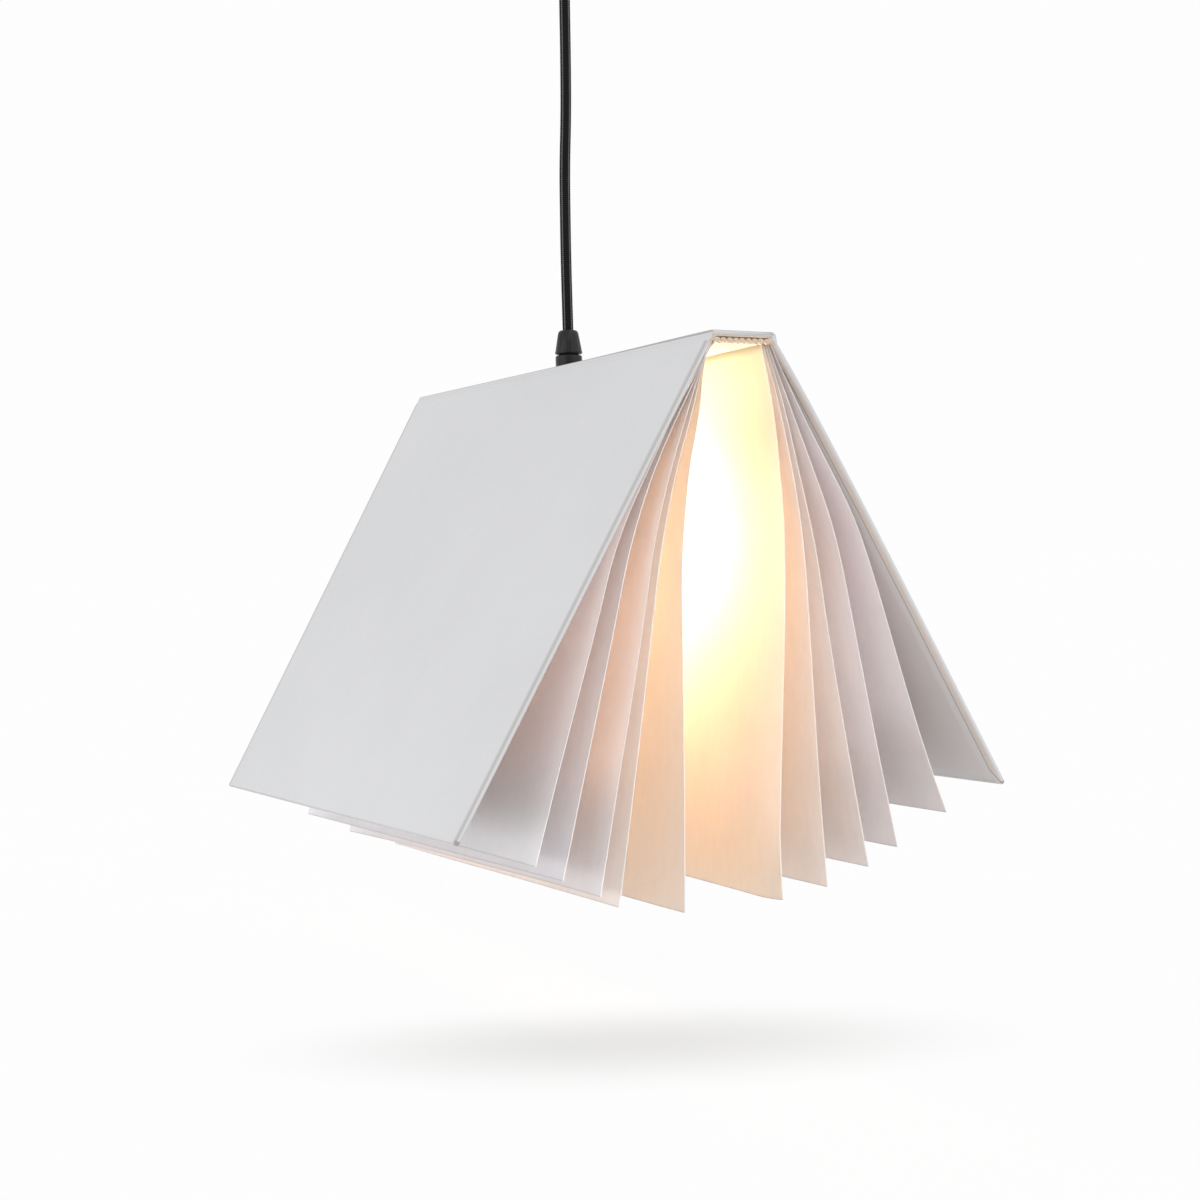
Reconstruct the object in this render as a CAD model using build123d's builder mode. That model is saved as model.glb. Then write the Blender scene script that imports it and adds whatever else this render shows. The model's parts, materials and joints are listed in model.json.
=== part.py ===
from build123d import *
import math
import os

os.makedirs("parts", exist_ok=True)

# Pendant light shaped as an open hardcover book that hangs spine up on a textile
# covered cord. Millimetres, Z up. The origin is the middle of the ceiling fitting's
# mounting face, X runs across the book, Y along its spine.

# ---------------------------------------------------------------- driving sizes
DROP = 262.0  # ceiling to the top of the spine
SHADE_X, SHADE_Y = -2.4, 0.2  # middle of the spine, seen from the ceiling fitting
HOLE_X, HOLE_Y = -0.8, 1.6  # cord hole, measured from the middle of the spine
SPINE_L, SPINE_W = 320.0, 33.4
WRAP = 0.22  # covering cloth
SPINE_T = 2.0  # spine board with its cloth
COVER_S = 257.8  # cover, from the spine's corner to its free edge
COVER_T = 2.4  # cover with cloth and endpaper
JOINT_W = 4.3  # cloth joint between spine and cover
TURN_IN = 11.0  # cloth folded over the inner face
COVER_A = 31.8  # cover's slope from the vertical, near end
COVER_A_FAR = 29.5  # left cover's slope at its far end: the board is a little warped
SHEET_T = 0.30
SHEET_Y = 158.0  # half width of a leaf along the spine
CORD_D = 5.8
GRIP_TOP = 21.0  # above the spine
CUP_R, CUP_H, CUP_WALL = 35.0, 24.0, 1.2
SWING_Z = -31.0  # where the cord bends in the ceiling gland

RIVETS = [(8.0, 50.0), (-8.0, 50.0), (8.0, -50.0), (-8.0, -50.0)]
CREASE_X = [15.69 - 0.35 * k for k in range(5)]  # creases of the five sheets, outermost first
CREASE_Z = [4.16 + 0.57 * k for k in range(5)]  # below the spine's top face

HX, HY = SHADE_X + HOLE_X, SHADE_Y + HOLE_Y
ZS = -DROP


def z(v):
    "height above the spine's top face, in the part's frame"
    return ZS + v


def across(y, x0=SHADE_X, y0=SHADE_Y):
    "upright section plane across the spine, y from the middle of the spine"
    return Plane(origin=(x0, y0 + y, ZS), x_dir=(1, 0, 0), z_dir=(0, -1, 0))


def level(v, x=SHADE_X, y=SHADE_Y):
    "level plane at height v above the spine's top face"
    return Plane(origin=(x, y, z(v)))


def axial(x, y, base=0.0):
    "upright plane through a vertical axis, for turned parts"
    return Plane(origin=(x, y, base), x_dir=(1, 0, 0), z_dir=(0, -1, 0))


# ---------------------------------------------------------------- ceiling fitting
# Steel strap with two screw holes and two bent ears that take the cup's side screws.
with BuildPart() as ceiling_bracket:
    with BuildSketch(Plane.XY.offset(-1.5)):
        SlotOverall(67.0, 16.0)
        with Locations((20, 0), (-20, 0)):
            Circle(2.25, mode=Mode.SUBTRACT)
        with Locations((32, 0), (-32, 0)):
            Rectangle(3.2, 20, mode=Mode.SUBTRACT)
    extrude(amount=1.5)
    for side in (-1, 1):
        with BuildSketch(Plane.YZ.offset(side * 29.65)):
            with Locations((0, -6.0)):
                RectangleRounded(9.0, 10.0, 1.5)
            with Locations((0, -7.0)):
                Circle(1.25, mode=Mode.SUBTRACT)
        extrude(amount=0.75, both=True)
ceiling_bracket.part.label = "ceiling_bracket"
export_step(ceiling_bracket.part, "parts/ceiling_bracket.step")

# Turned cup that hides the wiring.
with BuildPart() as ceiling_cup:
    with BuildSketch(axial(0, 0)):
        with BuildLine():
            Polyline(
                (5.1, -CUP_H), (CUP_R - 7, -CUP_H), (CUP_R - 2.2, -CUP_H + 2.4), (CUP_R, -CUP_H + 8.0), (CUP_R, -0.4),
                (CUP_R - CUP_WALL, -0.4), (CUP_R - CUP_WALL, -CUP_H + 8.2), (CUP_R - 3.2, -CUP_H + 3.4),
                (CUP_R - 7.4, -CUP_H + CUP_WALL), (5.1, -CUP_H + CUP_WALL), close=True,
            )
        make_face()
    revolve(axis=Axis.Z)
    with Locations(Plane(origin=(0, 0, -7.0), z_dir=(1, 0, 0))):
        Cylinder(1.6, 80, mode=Mode.SUBTRACT)
ceiling_cup.part.label = "ceiling_cup"
export_step(ceiling_cup.part, "parts/ceiling_cup.step")

# Two pan-head screws through the cup's wall into the ears.
with BuildPart() as cup_screws:
    for side in (-1, 1):
        with BuildSketch(Plane.YZ.offset(side * (CUP_R + 0.05))):
            with Locations((0, -7.0)):
                Circle(2.7)
        extrude(amount=side * 1.9)
        with BuildSketch(Plane.YZ.offset(side * (CUP_R + 1.95))):
            with Locations((0, -7.0)):
                Rectangle(3.6, 0.7)
                Rectangle(0.7, 3.6)
        extrude(amount=-side * 0.9, mode=Mode.SUBTRACT)
        with BuildSketch(Plane.YZ.offset(side * 27.6)):
            with Locations((0, -7.0)):
                Circle(1.2)
        extrude(amount=side * (CUP_R - 27.6 + 0.1))
cup_screws.part.label = "cup_screws"
export_step(cup_screws.part, "parts/cup_screws.step")

# Gland in the cup's floor, with a bell mouth that lets the cord lean without kinking.
with BuildPart() as cup_gland:
    with BuildSketch(axial(0, 0)):
        with BuildLine():
            Polyline(
                (3.15, -14.6), (4.6, -14.6), (5.0, -15.0), (5.0, -CUP_H - 0.05), (8.4, -CUP_H - 0.05), (8.7, -CUP_H - 0.5),
                (8.6, -CUP_H - 2.0), (6.9, -35.0), (6.4, -36.0), (5.5, -36.0), (4.3, -33.4), (3.75, -31.0), (3.6, -29.4), (3.15, -29.0),
                close=True,
            )
        make_face()
    revolve(axis=Axis.Z)
cup_gland.part.label = "cup_gland"
export_step(cup_gland.part, "parts/cup_gland.step")

with BuildPart() as gland_nut:
    with BuildSketch(Plane.XY.offset(-CUP_H + CUP_WALL + 0.05)):
        RegularPolygon(8.0, 6)
        Circle(5.03, mode=Mode.SUBTRACT)
    extrude(amount=3.0)
gland_nut.part.label = "gland_nut"
export_step(gland_nut.part, "parts/gland_nut.step")

# Three-pole terminal block under the strap, with its clamp screws.
with BuildPart() as terminal_block:
    with BuildSketch(Plane(origin=(0, 0, -1.6))):
        with GridLocations(7.6, 0, 3, 1):
            RectangleRounded(7.5, 14.0, 1.0)
        Rectangle(20, 8)
    extrude(amount=-9.6)
    with BuildSketch(Plane.XZ.offset(-8)):
        with Locations((-7.6, -7.2), (0, -7.2), (7.6, -7.2)):
            Circle(1.5)
    extrude(amount=16, mode=Mode.SUBTRACT)
    with BuildSketch(Plane.XY.offset(-11.3)):
        with GridLocations(7.6, 7.4, 3, 2):
            Circle(1.55)
    extrude(amount=2.0, mode=Mode.SUBTRACT)
terminal_block.part.label = "terminal_block"
export_step(terminal_block.part, "parts/terminal_block.step")

with BuildPart() as terminal_screws:
    with BuildSketch(Plane.XY.offset(-10.9)):
        with GridLocations(7.6, 7.4, 3, 2):
            Circle(1.4)
    extrude(amount=1.5)
    with BuildSketch(Plane.XY.offset(-10.9)):
        with GridLocations(7.6, 7.4, 3, 2):
            Rectangle(3.0, 0.5)
    extrude(amount=0.5, mode=Mode.SUBTRACT)
terminal_screws.part.label = "terminal_screws"
export_step(terminal_screws.part, "parts/terminal_screws.step")

# Fixed tail of the cord, gripped by the gland, and its two cores to the block.
with BuildPart() as cord_tail:
    with BuildSketch(Plane.XY.offset(-28.9)):
        Circle(CORD_D / 2)
    extrude(amount=13.6)
cord_tail.part.label = "cord_tail"
export_step(cord_tail.part, "parts/cord_tail.step")

with BuildPart() as ceiling_leads:
    for side in (-1, 1):
        with BuildLine():
            FilletPolyline(
                (side * 1.35, 0, -14.95), (side * 1.35, 0.4, -13.4), (side * 3.8, 5.2, -13.2), (side * 7.6, 10.4, -11.4),
                (side * 7.6, 10.6, -7.2), (side * 7.6, 6.2, -7.2), radius=[0.7, 1.4, 1.8, 1.6],
            )
        with BuildSketch(Plane(origin=(side * 1.35, 0, -14.95), z_dir=(0, 0.4, 1.8))):
            Circle(0.95)
        sweep()
ceiling_leads.part.label = "ceiling_leads"
export_step(ceiling_leads.part, "parts/ceiling_leads.step")

# ---------------------------------------------------------------- cord
# The route leans and waves a little, as a hung textile cord does. r is the offset of
# the line from the ceiling axis along (0.866, -0.5).
ROUTE_RZ = [(-3.69, z(-14)), (-3.69, z(22)), (-3.72, z(58)), (-3.35, z(86)), (-2.95, z(108)), (-1.45, z(136)), (-0.80, z(166)), (-0.42, z(200)), (0.0, SWING_Z)]
ROUTE = [(HX if i < 2 else 0.866 * r, HY if i < 2 else -0.5 * r, h) for i, (r, h) in enumerate(ROUTE_RZ)]


def corner_radii(points):
    "0.45 of the shorter run beside each corner, divided by the tangent of half the turn"
    radii = []
    for a, b, c in zip(points, points[1:], points[2:]):
        u, v = Vector(*b) - Vector(*a), Vector(*c) - Vector(*b)
        half = math.radians(u.get_angle(v)) / 2
        radii.append(0.45 * min(u.length, v.length) / math.tan(half))
    return radii


RADII = corner_radii(ROUTE)
print("cord corner radii", [round(r) for r in RADII])
with BuildPart() as power_cord:
    with BuildLine() as cord_line:
        FilletPolyline(*ROUTE, radius=RADII)
    with BuildSketch(Plane(origin=ROUTE[0], z_dir=(0, 0, 1))):
        Circle(CORD_D / 2)
    sweep()
power_cord.part.label = "power_cord"
cord_length = sum(e.length for e in cord_line.edges())
print("cord length", round(cord_length, 1), "volume", round(power_cord.part.volume, 1), "section x length", round(math.pi * CORD_D**2 / 4 * cord_length, 1))
export_step(power_cord.part, "parts/power_cord.step")

# ---------------------------------------------------------------- cord grip on the spine
with BuildPart() as grip_cap:
    for lower, upper, r0, r1 in ((8.3, 9.4, 6.95, 7.3), (9.4, 10.4, 7.3, 7.15), (10.4, 20.2, 7.15, 5.45), (20.2, 21.0, 5.45, 4.7)):
        with BuildSketch(level(lower, HX, HY)):
            RegularPolygon(r0, 20)
        with BuildSketch(level(upper, HX, HY)):
            RegularPolygon(r1, 20)
        loft(ruled=True)
    with BuildSketch(level(8.3, HX, HY)):
        Circle(5.3)
    extrude(amount=9.7, mode=Mode.SUBTRACT)
    with BuildSketch(level(17.0, HX, HY)):
        Circle(3.0)
    extrude(amount=6.0, mode=Mode.SUBTRACT)
grip_cap.part.label = "grip_cap"
export_step(grip_cap.part, "parts/grip_cap.step")

with BuildPart() as grip_body:
    with BuildSketch(axial(HX, HY, ZS)):
        with BuildLine():
            Polyline(
                (5.0, 0.06), (6.8, 0.06), (7.1, 0.5), (7.1, 7.1), (6.8, 7.6), (5.2, 7.6), (5.2, 13.0), (3.05, 13.0), (3.05, 6.6), (5.0, 6.6),
                close=True,
            )
        make_face()
    revolve(axis=Axis((HX, HY, 0), (0, 0, 1)))
grip_body.part.label = "grip_body"
export_step(grip_body.part, "parts/grip_body.step")

# Rubber collet squeezed round the cord by the cap.
with BuildPart() as grip_collet:
    with BuildSketch(level(13.1, HX, HY)):
        Circle(5.2)
        Circle(2.95, mode=Mode.SUBTRACT)
        with PolarLocations(4.4, 6):
            Rectangle(2.2, 0.5, mode=Mode.SUBTRACT)
    extrude(amount=4.8)
grip_collet.part.label = "grip_collet"
export_step(grip_collet.part, "parts/grip_collet.step")

# Threaded tube through the spine.
with BuildPart() as threaded_nipple:
    with BuildSketch(axial(HX, HY, ZS)):
        with BuildLine():
            Polyline((3.4, -24.0), (4.6, -24.0), (4.98, -23.6), (4.98, 6.1), (4.6, 6.5), (3.4, 6.5), close=True)
        make_face()
    revolve(axis=Axis((HX, HY, 0), (0, 0, 1)))
threaded_nipple.part.label = "threaded_nipple"
export_step(threaded_nipple.part, "parts/threaded_nipple.step")

with BuildPart() as nipple_washer:
    with BuildSketch(level(-9.15, HX, HY)):
        Circle(9.5)
        Circle(5.03, mode=Mode.SUBTRACT)
    extrude(amount=0.8)
nipple_washer.part.label = "nipple_washer"
export_step(nipple_washer.part, "parts/nipple_washer.step")

with BuildPart() as nipple_nut:
    with BuildSketch(level(-13.2, HX, HY)):
        RegularPolygon(8.0, 6)
        Circle(4.98, mode=Mode.SUBTRACT)
    extrude(amount=4.0)
nipple_nut.part.label = "nipple_nut"
export_step(nipple_nut.part, "parts/nipple_nut.step")

# ---------------------------------------------------------------- lampholder and bulb
AXIS_H = Axis((HX, HY, 0), (0, 0, 1))
with BuildPart() as holder_cap:
    with BuildSketch(axial(HX, HY, ZS)):
        with BuildLine():
            Polyline(
                (4.98, -14.0), (8.0, -14.0), (9.6, -15.2), (13.2, -21.0), (13.9, -24.0), (13.9, -33.0), (12.6, -33.0), (12.6, -25.0),
                (11.6, -21.8), (8.6, -18.4), (4.98, -18.4), close=True,
            )
        make_face()
    revolve(axis=AXIS_H)
holder_cap.part.label = "holder_cap"
export_step(holder_cap.part, "parts/holder_cap.step")

with BuildPart() as holder_skirt:
    with BuildSketch(axial(HX, HY, ZS)):
        with BuildLine():
            Polyline(
                (12.5, -29.0), (12.5, -33.1), (14.0, -33.1), (14.0, -60.0), (13.6, -61.5), (12.2, -61.5), (12.2, -57.5), (11.4, -56.6),
                (11.4, -29.0), close=True,
            )
        make_face()
    revolve(axis=AXIS_H)
holder_skirt.part.label = "holder_skirt"
export_step(holder_skirt.part, "parts/holder_skirt.step")

with BuildPart() as contact_carrier:
    with BuildSketch(level(-31.0, HX, HY)):
        Circle(11.3)
        with Locations((5.2, 0), (-5.2, 0)):
            Circle(1.15, mode=Mode.SUBTRACT)
    extrude(amount=-3.4)
    with BuildSketch(level(-34.4, HX, HY)):
        Circle(11.3)
        Circle(7.75, mode=Mode.SUBTRACT)
    extrude(amount=-20.6)
contact_carrier.part.label = "contact_carrier"
export_step(contact_carrier.part, "parts/contact_carrier.step")

with BuildPart() as screw_shell:
    with BuildSketch(level(-35.0, HX, HY)):
        Circle(7.7)
        Circle(7.2, mode=Mode.SUBTRACT)
    extrude(amount=-19.0)
    for k in range(5):
        with BuildSketch(axial(HX, HY, ZS)):
            with Locations((7.2, -38.5 - 2.82 * k)):
                Circle(0.28)
        revolve(axis=AXIS_H)
    with BuildSketch(level(-34.0, HX, HY)):
        Circle(7.05)
    extrude(amount=-22.0, mode=Mode.SUBTRACT)
screw_shell.part.label = "screw_shell"
export_step(screw_shell.part, "parts/screw_shell.step")

with BuildPart() as centre_contact:
    with BuildSketch(Plane(origin=(HX, HY, ZS), x_dir=(1, 0, 0), z_dir=(0, -1, 0)).offset(-1.5)):
        with BuildLine():
            Polyline((-4.6, -34.5), (4.4, -34.5), (4.4, -34.9), (2.2, -35.0), (0.6, -36.3), (-0.6, -36.3), (-3.8, -34.9), (-4.6, -34.9), close=True)
        make_face()
    extrude(amount=3.0)
centre_contact.part.label = "centre_contact"
export_step(centre_contact.part, "parts/centre_contact.step")

# Two cores from the cord's end through the nipple to the carrier.
with BuildPart() as core_wires:
    for side in (-1, 1):
        with BuildLine():
            FilletPolyline(
                (HX + side * 1.3, HY, z(-14.1)), (HX + side * 1.3, HY, z(-23.5)), (HX + side * 5.2, HY, z(-28.6)), (HX + side * 5.2, HY, z(-33.6)),
                radius=2.4,
            )
        with BuildSketch(Plane(origin=(HX + side * 1.3, HY, z(-14.1)), z_dir=(0, 0, -1))):
            Circle(0.95)
        sweep()
core_wires.part.label = "core_wires"
export_step(core_wires.part, "parts/core_wires.step")

BULB_C, BULB_R = -89.5, 22.5
NECK = [(7.6, -57.6), (8.6, -62.0), (11.6, -68.0), (15.6, -73.2)]
T0 = math.atan2(-73.2 - BULB_C, 15.6)
with BuildPart() as bulb_globe:
    with BuildSketch(axial(HX, HY, ZS)):
        with BuildLine():
            joint = (BULB_R * math.cos(T0), BULB_C + BULB_R * math.sin(T0))
            Spline((7.6, -57.6), (8.5, -62.0), (11.4, -67.8), joint, tangents=[(0, -1), (math.sin(T0), -math.cos(T0))])
            ThreePointArc(joint, (BULB_R * math.cos(T0 / 2 - 0.785), BULB_C + BULB_R * math.sin(T0 / 2 - 0.785)), (0, BULB_C - BULB_R))
            Line((0, BULB_C - BULB_R), (0, BULB_C - BULB_R + 0.9))
            inner = ((BULB_R - 0.9) * math.cos(T0), BULB_C + (BULB_R - 0.9) * math.sin(T0))
            ThreePointArc((0, BULB_C - BULB_R + 0.9), ((BULB_R - 0.9) * math.cos(T0 / 2 - 0.785), BULB_C + (BULB_R - 0.9) * math.sin(T0 / 2 - 0.785)), inner)
            Spline(inner, (10.6, -68.2), (7.65, -62.2), (6.7, -57.6), tangents=[(-math.sin(T0), math.cos(T0)), (0, 1)])
            Line((6.7, -57.6), (7.6, -57.6))
        make_face()
    revolve(axis=AXIS_H)
bulb_globe.part.label = "bulb_globe"
export_step(bulb_globe.part, "parts/bulb_globe.step")

with BuildPart() as bulb_cap:
    with BuildSketch(axial(HX, HY, ZS)):
        with BuildLine():
            pts = [(0, -38.0), (4.2, -38.0), (6.2, -39.4)]
            for k in range(5):
                pts += [(6.85, -40.0 - 2.82 * k), (6.35, -41.4 - 2.82 * k)]
            pts += [(6.85, -54.2), (7.5, -56.0), (8.6, -56.4), (8.6, -59.4), (8.1, -59.4), (8.1, -57.5), (0, -57.5)]
            Polyline(*pts, close=True)
        make_face()
    revolve(axis=AXIS_H)
bulb_cap.part.label = "bulb_cap"
export_step(bulb_cap.part, "parts/bulb_cap.step")

with BuildPart() as bulb_tip:
    with BuildSketch(axial(HX, HY, ZS)):
        with BuildLine():
            Polyline((0, -36.4), (1.6, -36.5), (2.2, -37.1), (3.9, -37.5), (3.9, -37.95), (0, -37.95), close=True)
        make_face()
    revolve(axis=AXIS_H)
bulb_tip.part.label = "bulb_tip"
export_step(bulb_tip.part, "parts/bulb_tip.step")

# Heat sink post with a round light board inside the globe.
with BuildPart() as bulb_light_post:
    with BuildSketch(level(-57.6, HX, HY)):
        Circle(5.6)
    with BuildSketch(level(-74.0, HX, HY)):
        Circle(4.2)
    loft()
    with BuildSketch(level(-74.0, HX, HY)):
        Circle(12.0)
    extrude(amount=-1.6)
    with BuildSketch(level(-75.6, HX, HY)):
        with PolarLocations(8.4, 8):
            Rectangle(2.8, 3.5)
        with PolarLocations(3.2, 4):
            Rectangle(2.8, 2.2)
    extrude(amount=-0.7)
bulb_light_post.part.label = "bulb_light_post"
export_step(bulb_light_post.part, "parts/bulb_light_post.step")

# ---------------------------------------------------------------- spine
HW = SPINE_W / 2
with BuildPart() as spine_board:
    with BuildSketch(level(-SPINE_T)):
        Rectangle(SPINE_W - 2 * WRAP, SPINE_L - 2 * WRAP)
        with Locations((HOLE_X, HOLE_Y)):
            Circle(5.05, mode=Mode.SUBTRACT)
    extrude(amount=SPINE_T - WRAP)
    with BuildSketch(level(-SPINE_T)):
        with Locations(*RIVETS):
            Circle(1.5)
    extrude(amount=SPINE_T - 0.5, mode=Mode.SUBTRACT)
    fillet(spine_board.edges().filter_by(Axis.Y).group_by(Axis.Z)[-1], 0.7)
spine_board.part.label = "spine_board"
export_step(spine_board.part, "parts/spine_board.step")

# Cloth over the board's top, sides and ends.
with BuildPart() as spine_cloth:
    with BuildSketch(level(-SPINE_T)):
        Rectangle(SPINE_W, SPINE_L)
    extrude(amount=SPINE_T)
    fillet(spine_cloth.edges().filter_by(Axis.Y).group_by(Axis.Z)[-1], 0.9)
    add(spine_board.part, mode=Mode.SUBTRACT)
    with BuildSketch(level(-SPINE_T - 1)):
        with Locations((HOLE_X, HOLE_Y)):
            Circle(5.05)
        with Locations(*RIVETS):
            Circle(1.5)
    extrude(amount=SPINE_T + 1 - 0.45, mode=Mode.SUBTRACT)
    with BuildSketch(level(-1, HX, HY)):
        Circle(5.05)
    extrude(amount=2, mode=Mode.SUBTRACT)
spine_cloth.part.label = "spine_cloth"
export_step(spine_cloth.part, "parts/spine_cloth.step")

# Paper lining under the board.
with BuildPart() as spine_lining:
    with BuildSketch(level(-SPINE_T - 0.6)):
        Rectangle(SPINE_W - 0.8, SPINE_L - 1.0)
        with Locations((HOLE_X, HOLE_Y)):
            Circle(5.6, mode=Mode.SUBTRACT)
        with Locations(*RIVETS):
            Circle(1.5, mode=Mode.SUBTRACT)
    extrude(amount=0.6)
spine_lining.part.label = "spine_lining"
export_step(spine_lining.part, "parts/spine_lining.step")

# Pad that keeps the hollow between the lining and the leaves.
with BuildPart() as spine_pad:
    with BuildSketch(level(-CREASE_Z[0] + 0.16)):
        RectangleRounded(24.0, 120.0, 3.0)
        with Locations((HOLE_X, HOLE_Y)):
            Circle(5.6, mode=Mode.SUBTRACT)
        with Locations(*RIVETS):
            Circle(1.5, mode=Mode.SUBTRACT)
    extrude(amount=CREASE_Z[0] - 0.16 - SPINE_T - 0.6)
spine_pad.part.label = "spine_pad"
export_step(spine_pad.part, "parts/spine_pad.step")

# Flat middles of the five creased sheets, nested one under the other.
with BuildPart() as sheet_backs:
    for cx, cz in zip(CREASE_X, CREASE_Z):
        with BuildSketch(level(-cz - SHEET_T / 2)):
            Rectangle(2 * (cx - 0.35), 2 * SHEET_Y)
            with Locations((HOLE_X, HOLE_Y)):
                Circle(5.6, mode=Mode.SUBTRACT)
            with Locations(*RIVETS):
                Circle(1.5, mode=Mode.SUBTRACT)
        extrude(amount=SHEET_T)
sheet_backs.part.label = "sheet_backs"
export_step(sheet_backs.part, "parts/sheet_backs.step")

# Steel plate that clamps the sheets, and its four rivets.
PLATE_Z = -CREASE_Z[-1] - SHEET_T / 2 - 0.03
with BuildPart() as clamp_plate:
    with BuildSketch(level(PLATE_Z)):
        RectangleRounded(24.0, 120.0, 4.0)
        with Locations((HOLE_X, HOLE_Y)):
            Circle(5.05, mode=Mode.SUBTRACT)
        with Locations(*RIVETS):
            Circle(1.5, mode=Mode.SUBTRACT)
    extrude(amount=-1.5)
    chamfer(clamp_plate.faces().sort_by(Axis.Z)[0].outer_wire().edges(), 0.3)
clamp_plate.part.label = "clamp_plate"
export_step(clamp_plate.part, "parts/clamp_plate.step")

with BuildPart() as clamp_rivets:
    for rx, ry in RIVETS:
        with BuildSketch(axial(SHADE_X + rx, SHADE_Y + ry, ZS)):
            with BuildLine():
                Polyline((0, -0.5), (1.5, -0.5), (1.5, PLATE_Z - 1.5), (3.0, PLATE_Z - 1.5), (2.6, PLATE_Z - 2.2), (1.6, PLATE_Z - 2.6), (0, PLATE_Z - 2.7), close=True)
            make_face()
        revolve(axis=Axis((SHADE_X + rx, SHADE_Y + ry, 0), (0, 0, 1)))
clamp_rivets.part.label = "clamp_rivets"
export_step(clamp_rivets.part, "parts/clamp_rivets.step")

# Beaded headband under each end of the spine.
with BuildPart() as headbands:
    for y0 in (-159.5, 158.3):
        with BuildSketch(across(y0)):
            with Locations((0, -3.55)):
                Rectangle(27.0, 1.85)
            with Locations(*[(3.4 * k - 11.9, -4.6) for k in range(8)]):
                Circle(1.62)
        extrude(amount=-1.2)
headbands.part.label = "headbands"
export_step(headbands.part, "parts/headbands.step")


# ---------------------------------------------------------------- covers
def cover_point(side, y, s, n):
    """point on a cover: s down its slope from the spine's corner, n inwards from its
    outer face. Between the two ends the cover is ruled straight."""
    ends = []
    for slope in (COVER_A, COVER_A_FAR if side < 0 else COVER_A):
        a = math.radians(slope)
        ends.append((side * (HW + s * math.sin(a) - n * math.cos(a)), -s * math.cos(a) - n * math.sin(a)))
    t = (y + SPINE_L / 2) / SPINE_L
    return tuple(p + (q - p) * t for p, q in zip(*ends))


def ruled_block(side, y, s, n):
    "the sections of a straight-ruled block on a cover, one at each y"
    ends = []
    for v in y:
        with BuildSketch(across(v)) as end:
            with BuildLine():
                Polyline(*[cover_point(side, v, a, b) for a, b in ((s[0], n[0]), (s[1], n[0]), (s[1], n[1]), (s[0], n[1]))], close=True)
            make_face()
        ends.append(end.sketch)
    return ends


END = SPINE_L / 2
for side, name in ((-1, "left"), (1, "right")):
    with BuildPart() as board:
        loft(ruled_block(side, (-END + WRAP, END - WRAP), (JOINT_W + 0.1, COVER_S - WRAP), (WRAP, COVER_T - WRAP)), ruled=True)
    board.part.label = name + "_cover_board"
    export_step(board.part, f"parts/{name}_cover_board.step")

    # Cloth: outer face, three edges and the turned-in border of the inner face.
    with BuildPart() as cloth:
        loft(ruled_block(side, (-END, END), (JOINT_W, COVER_S), (0, COVER_T)), ruled=True)
        loft(ruled_block(side, (-END + WRAP, END - WRAP), (JOINT_W - 2, COVER_S - WRAP), (WRAP, COVER_T - WRAP)), ruled=True, mode=Mode.SUBTRACT)
        window = (-END + TURN_IN, END - TURN_IN), (JOINT_W - 2, COVER_S - TURN_IN), (COVER_T - WRAP - 0.5, COVER_T + 1)
        loft(ruled_block(side, *window), ruled=True, mode=Mode.SUBTRACT)
    cloth.part.label = name + "_cover_cloth"
    export_step(cloth.part, f"parts/{name}_cover_cloth.step")

    with BuildPart() as endpaper:
        paper = (-END + TURN_IN + 0.1, END - TURN_IN - 0.1), (JOINT_W + 0.4, COVER_S - TURN_IN - 0.1), (COVER_T - WRAP, COVER_T - 0.02)
        loft(ruled_block(side, *paper), ruled=True)
    endpaper.part.label = name + "_endpaper"
    export_step(endpaper.part, f"parts/{name}_endpaper.step")

    # Cloth joint that the cover turns on.
    with BuildPart() as joint_cloth:
        steps = [(END - 0.1) * (k / 4 - 1) for k in range(9)]
        loft(ruled_block(side, steps, (1.15, JOINT_W - 0.12), (0.25, 0.55)), ruled=True)
    joint_cloth.part.label = name + "_joint_cloth"
    export_step(joint_cloth.part, f"parts/{name}_joint_cloth.step")

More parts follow.
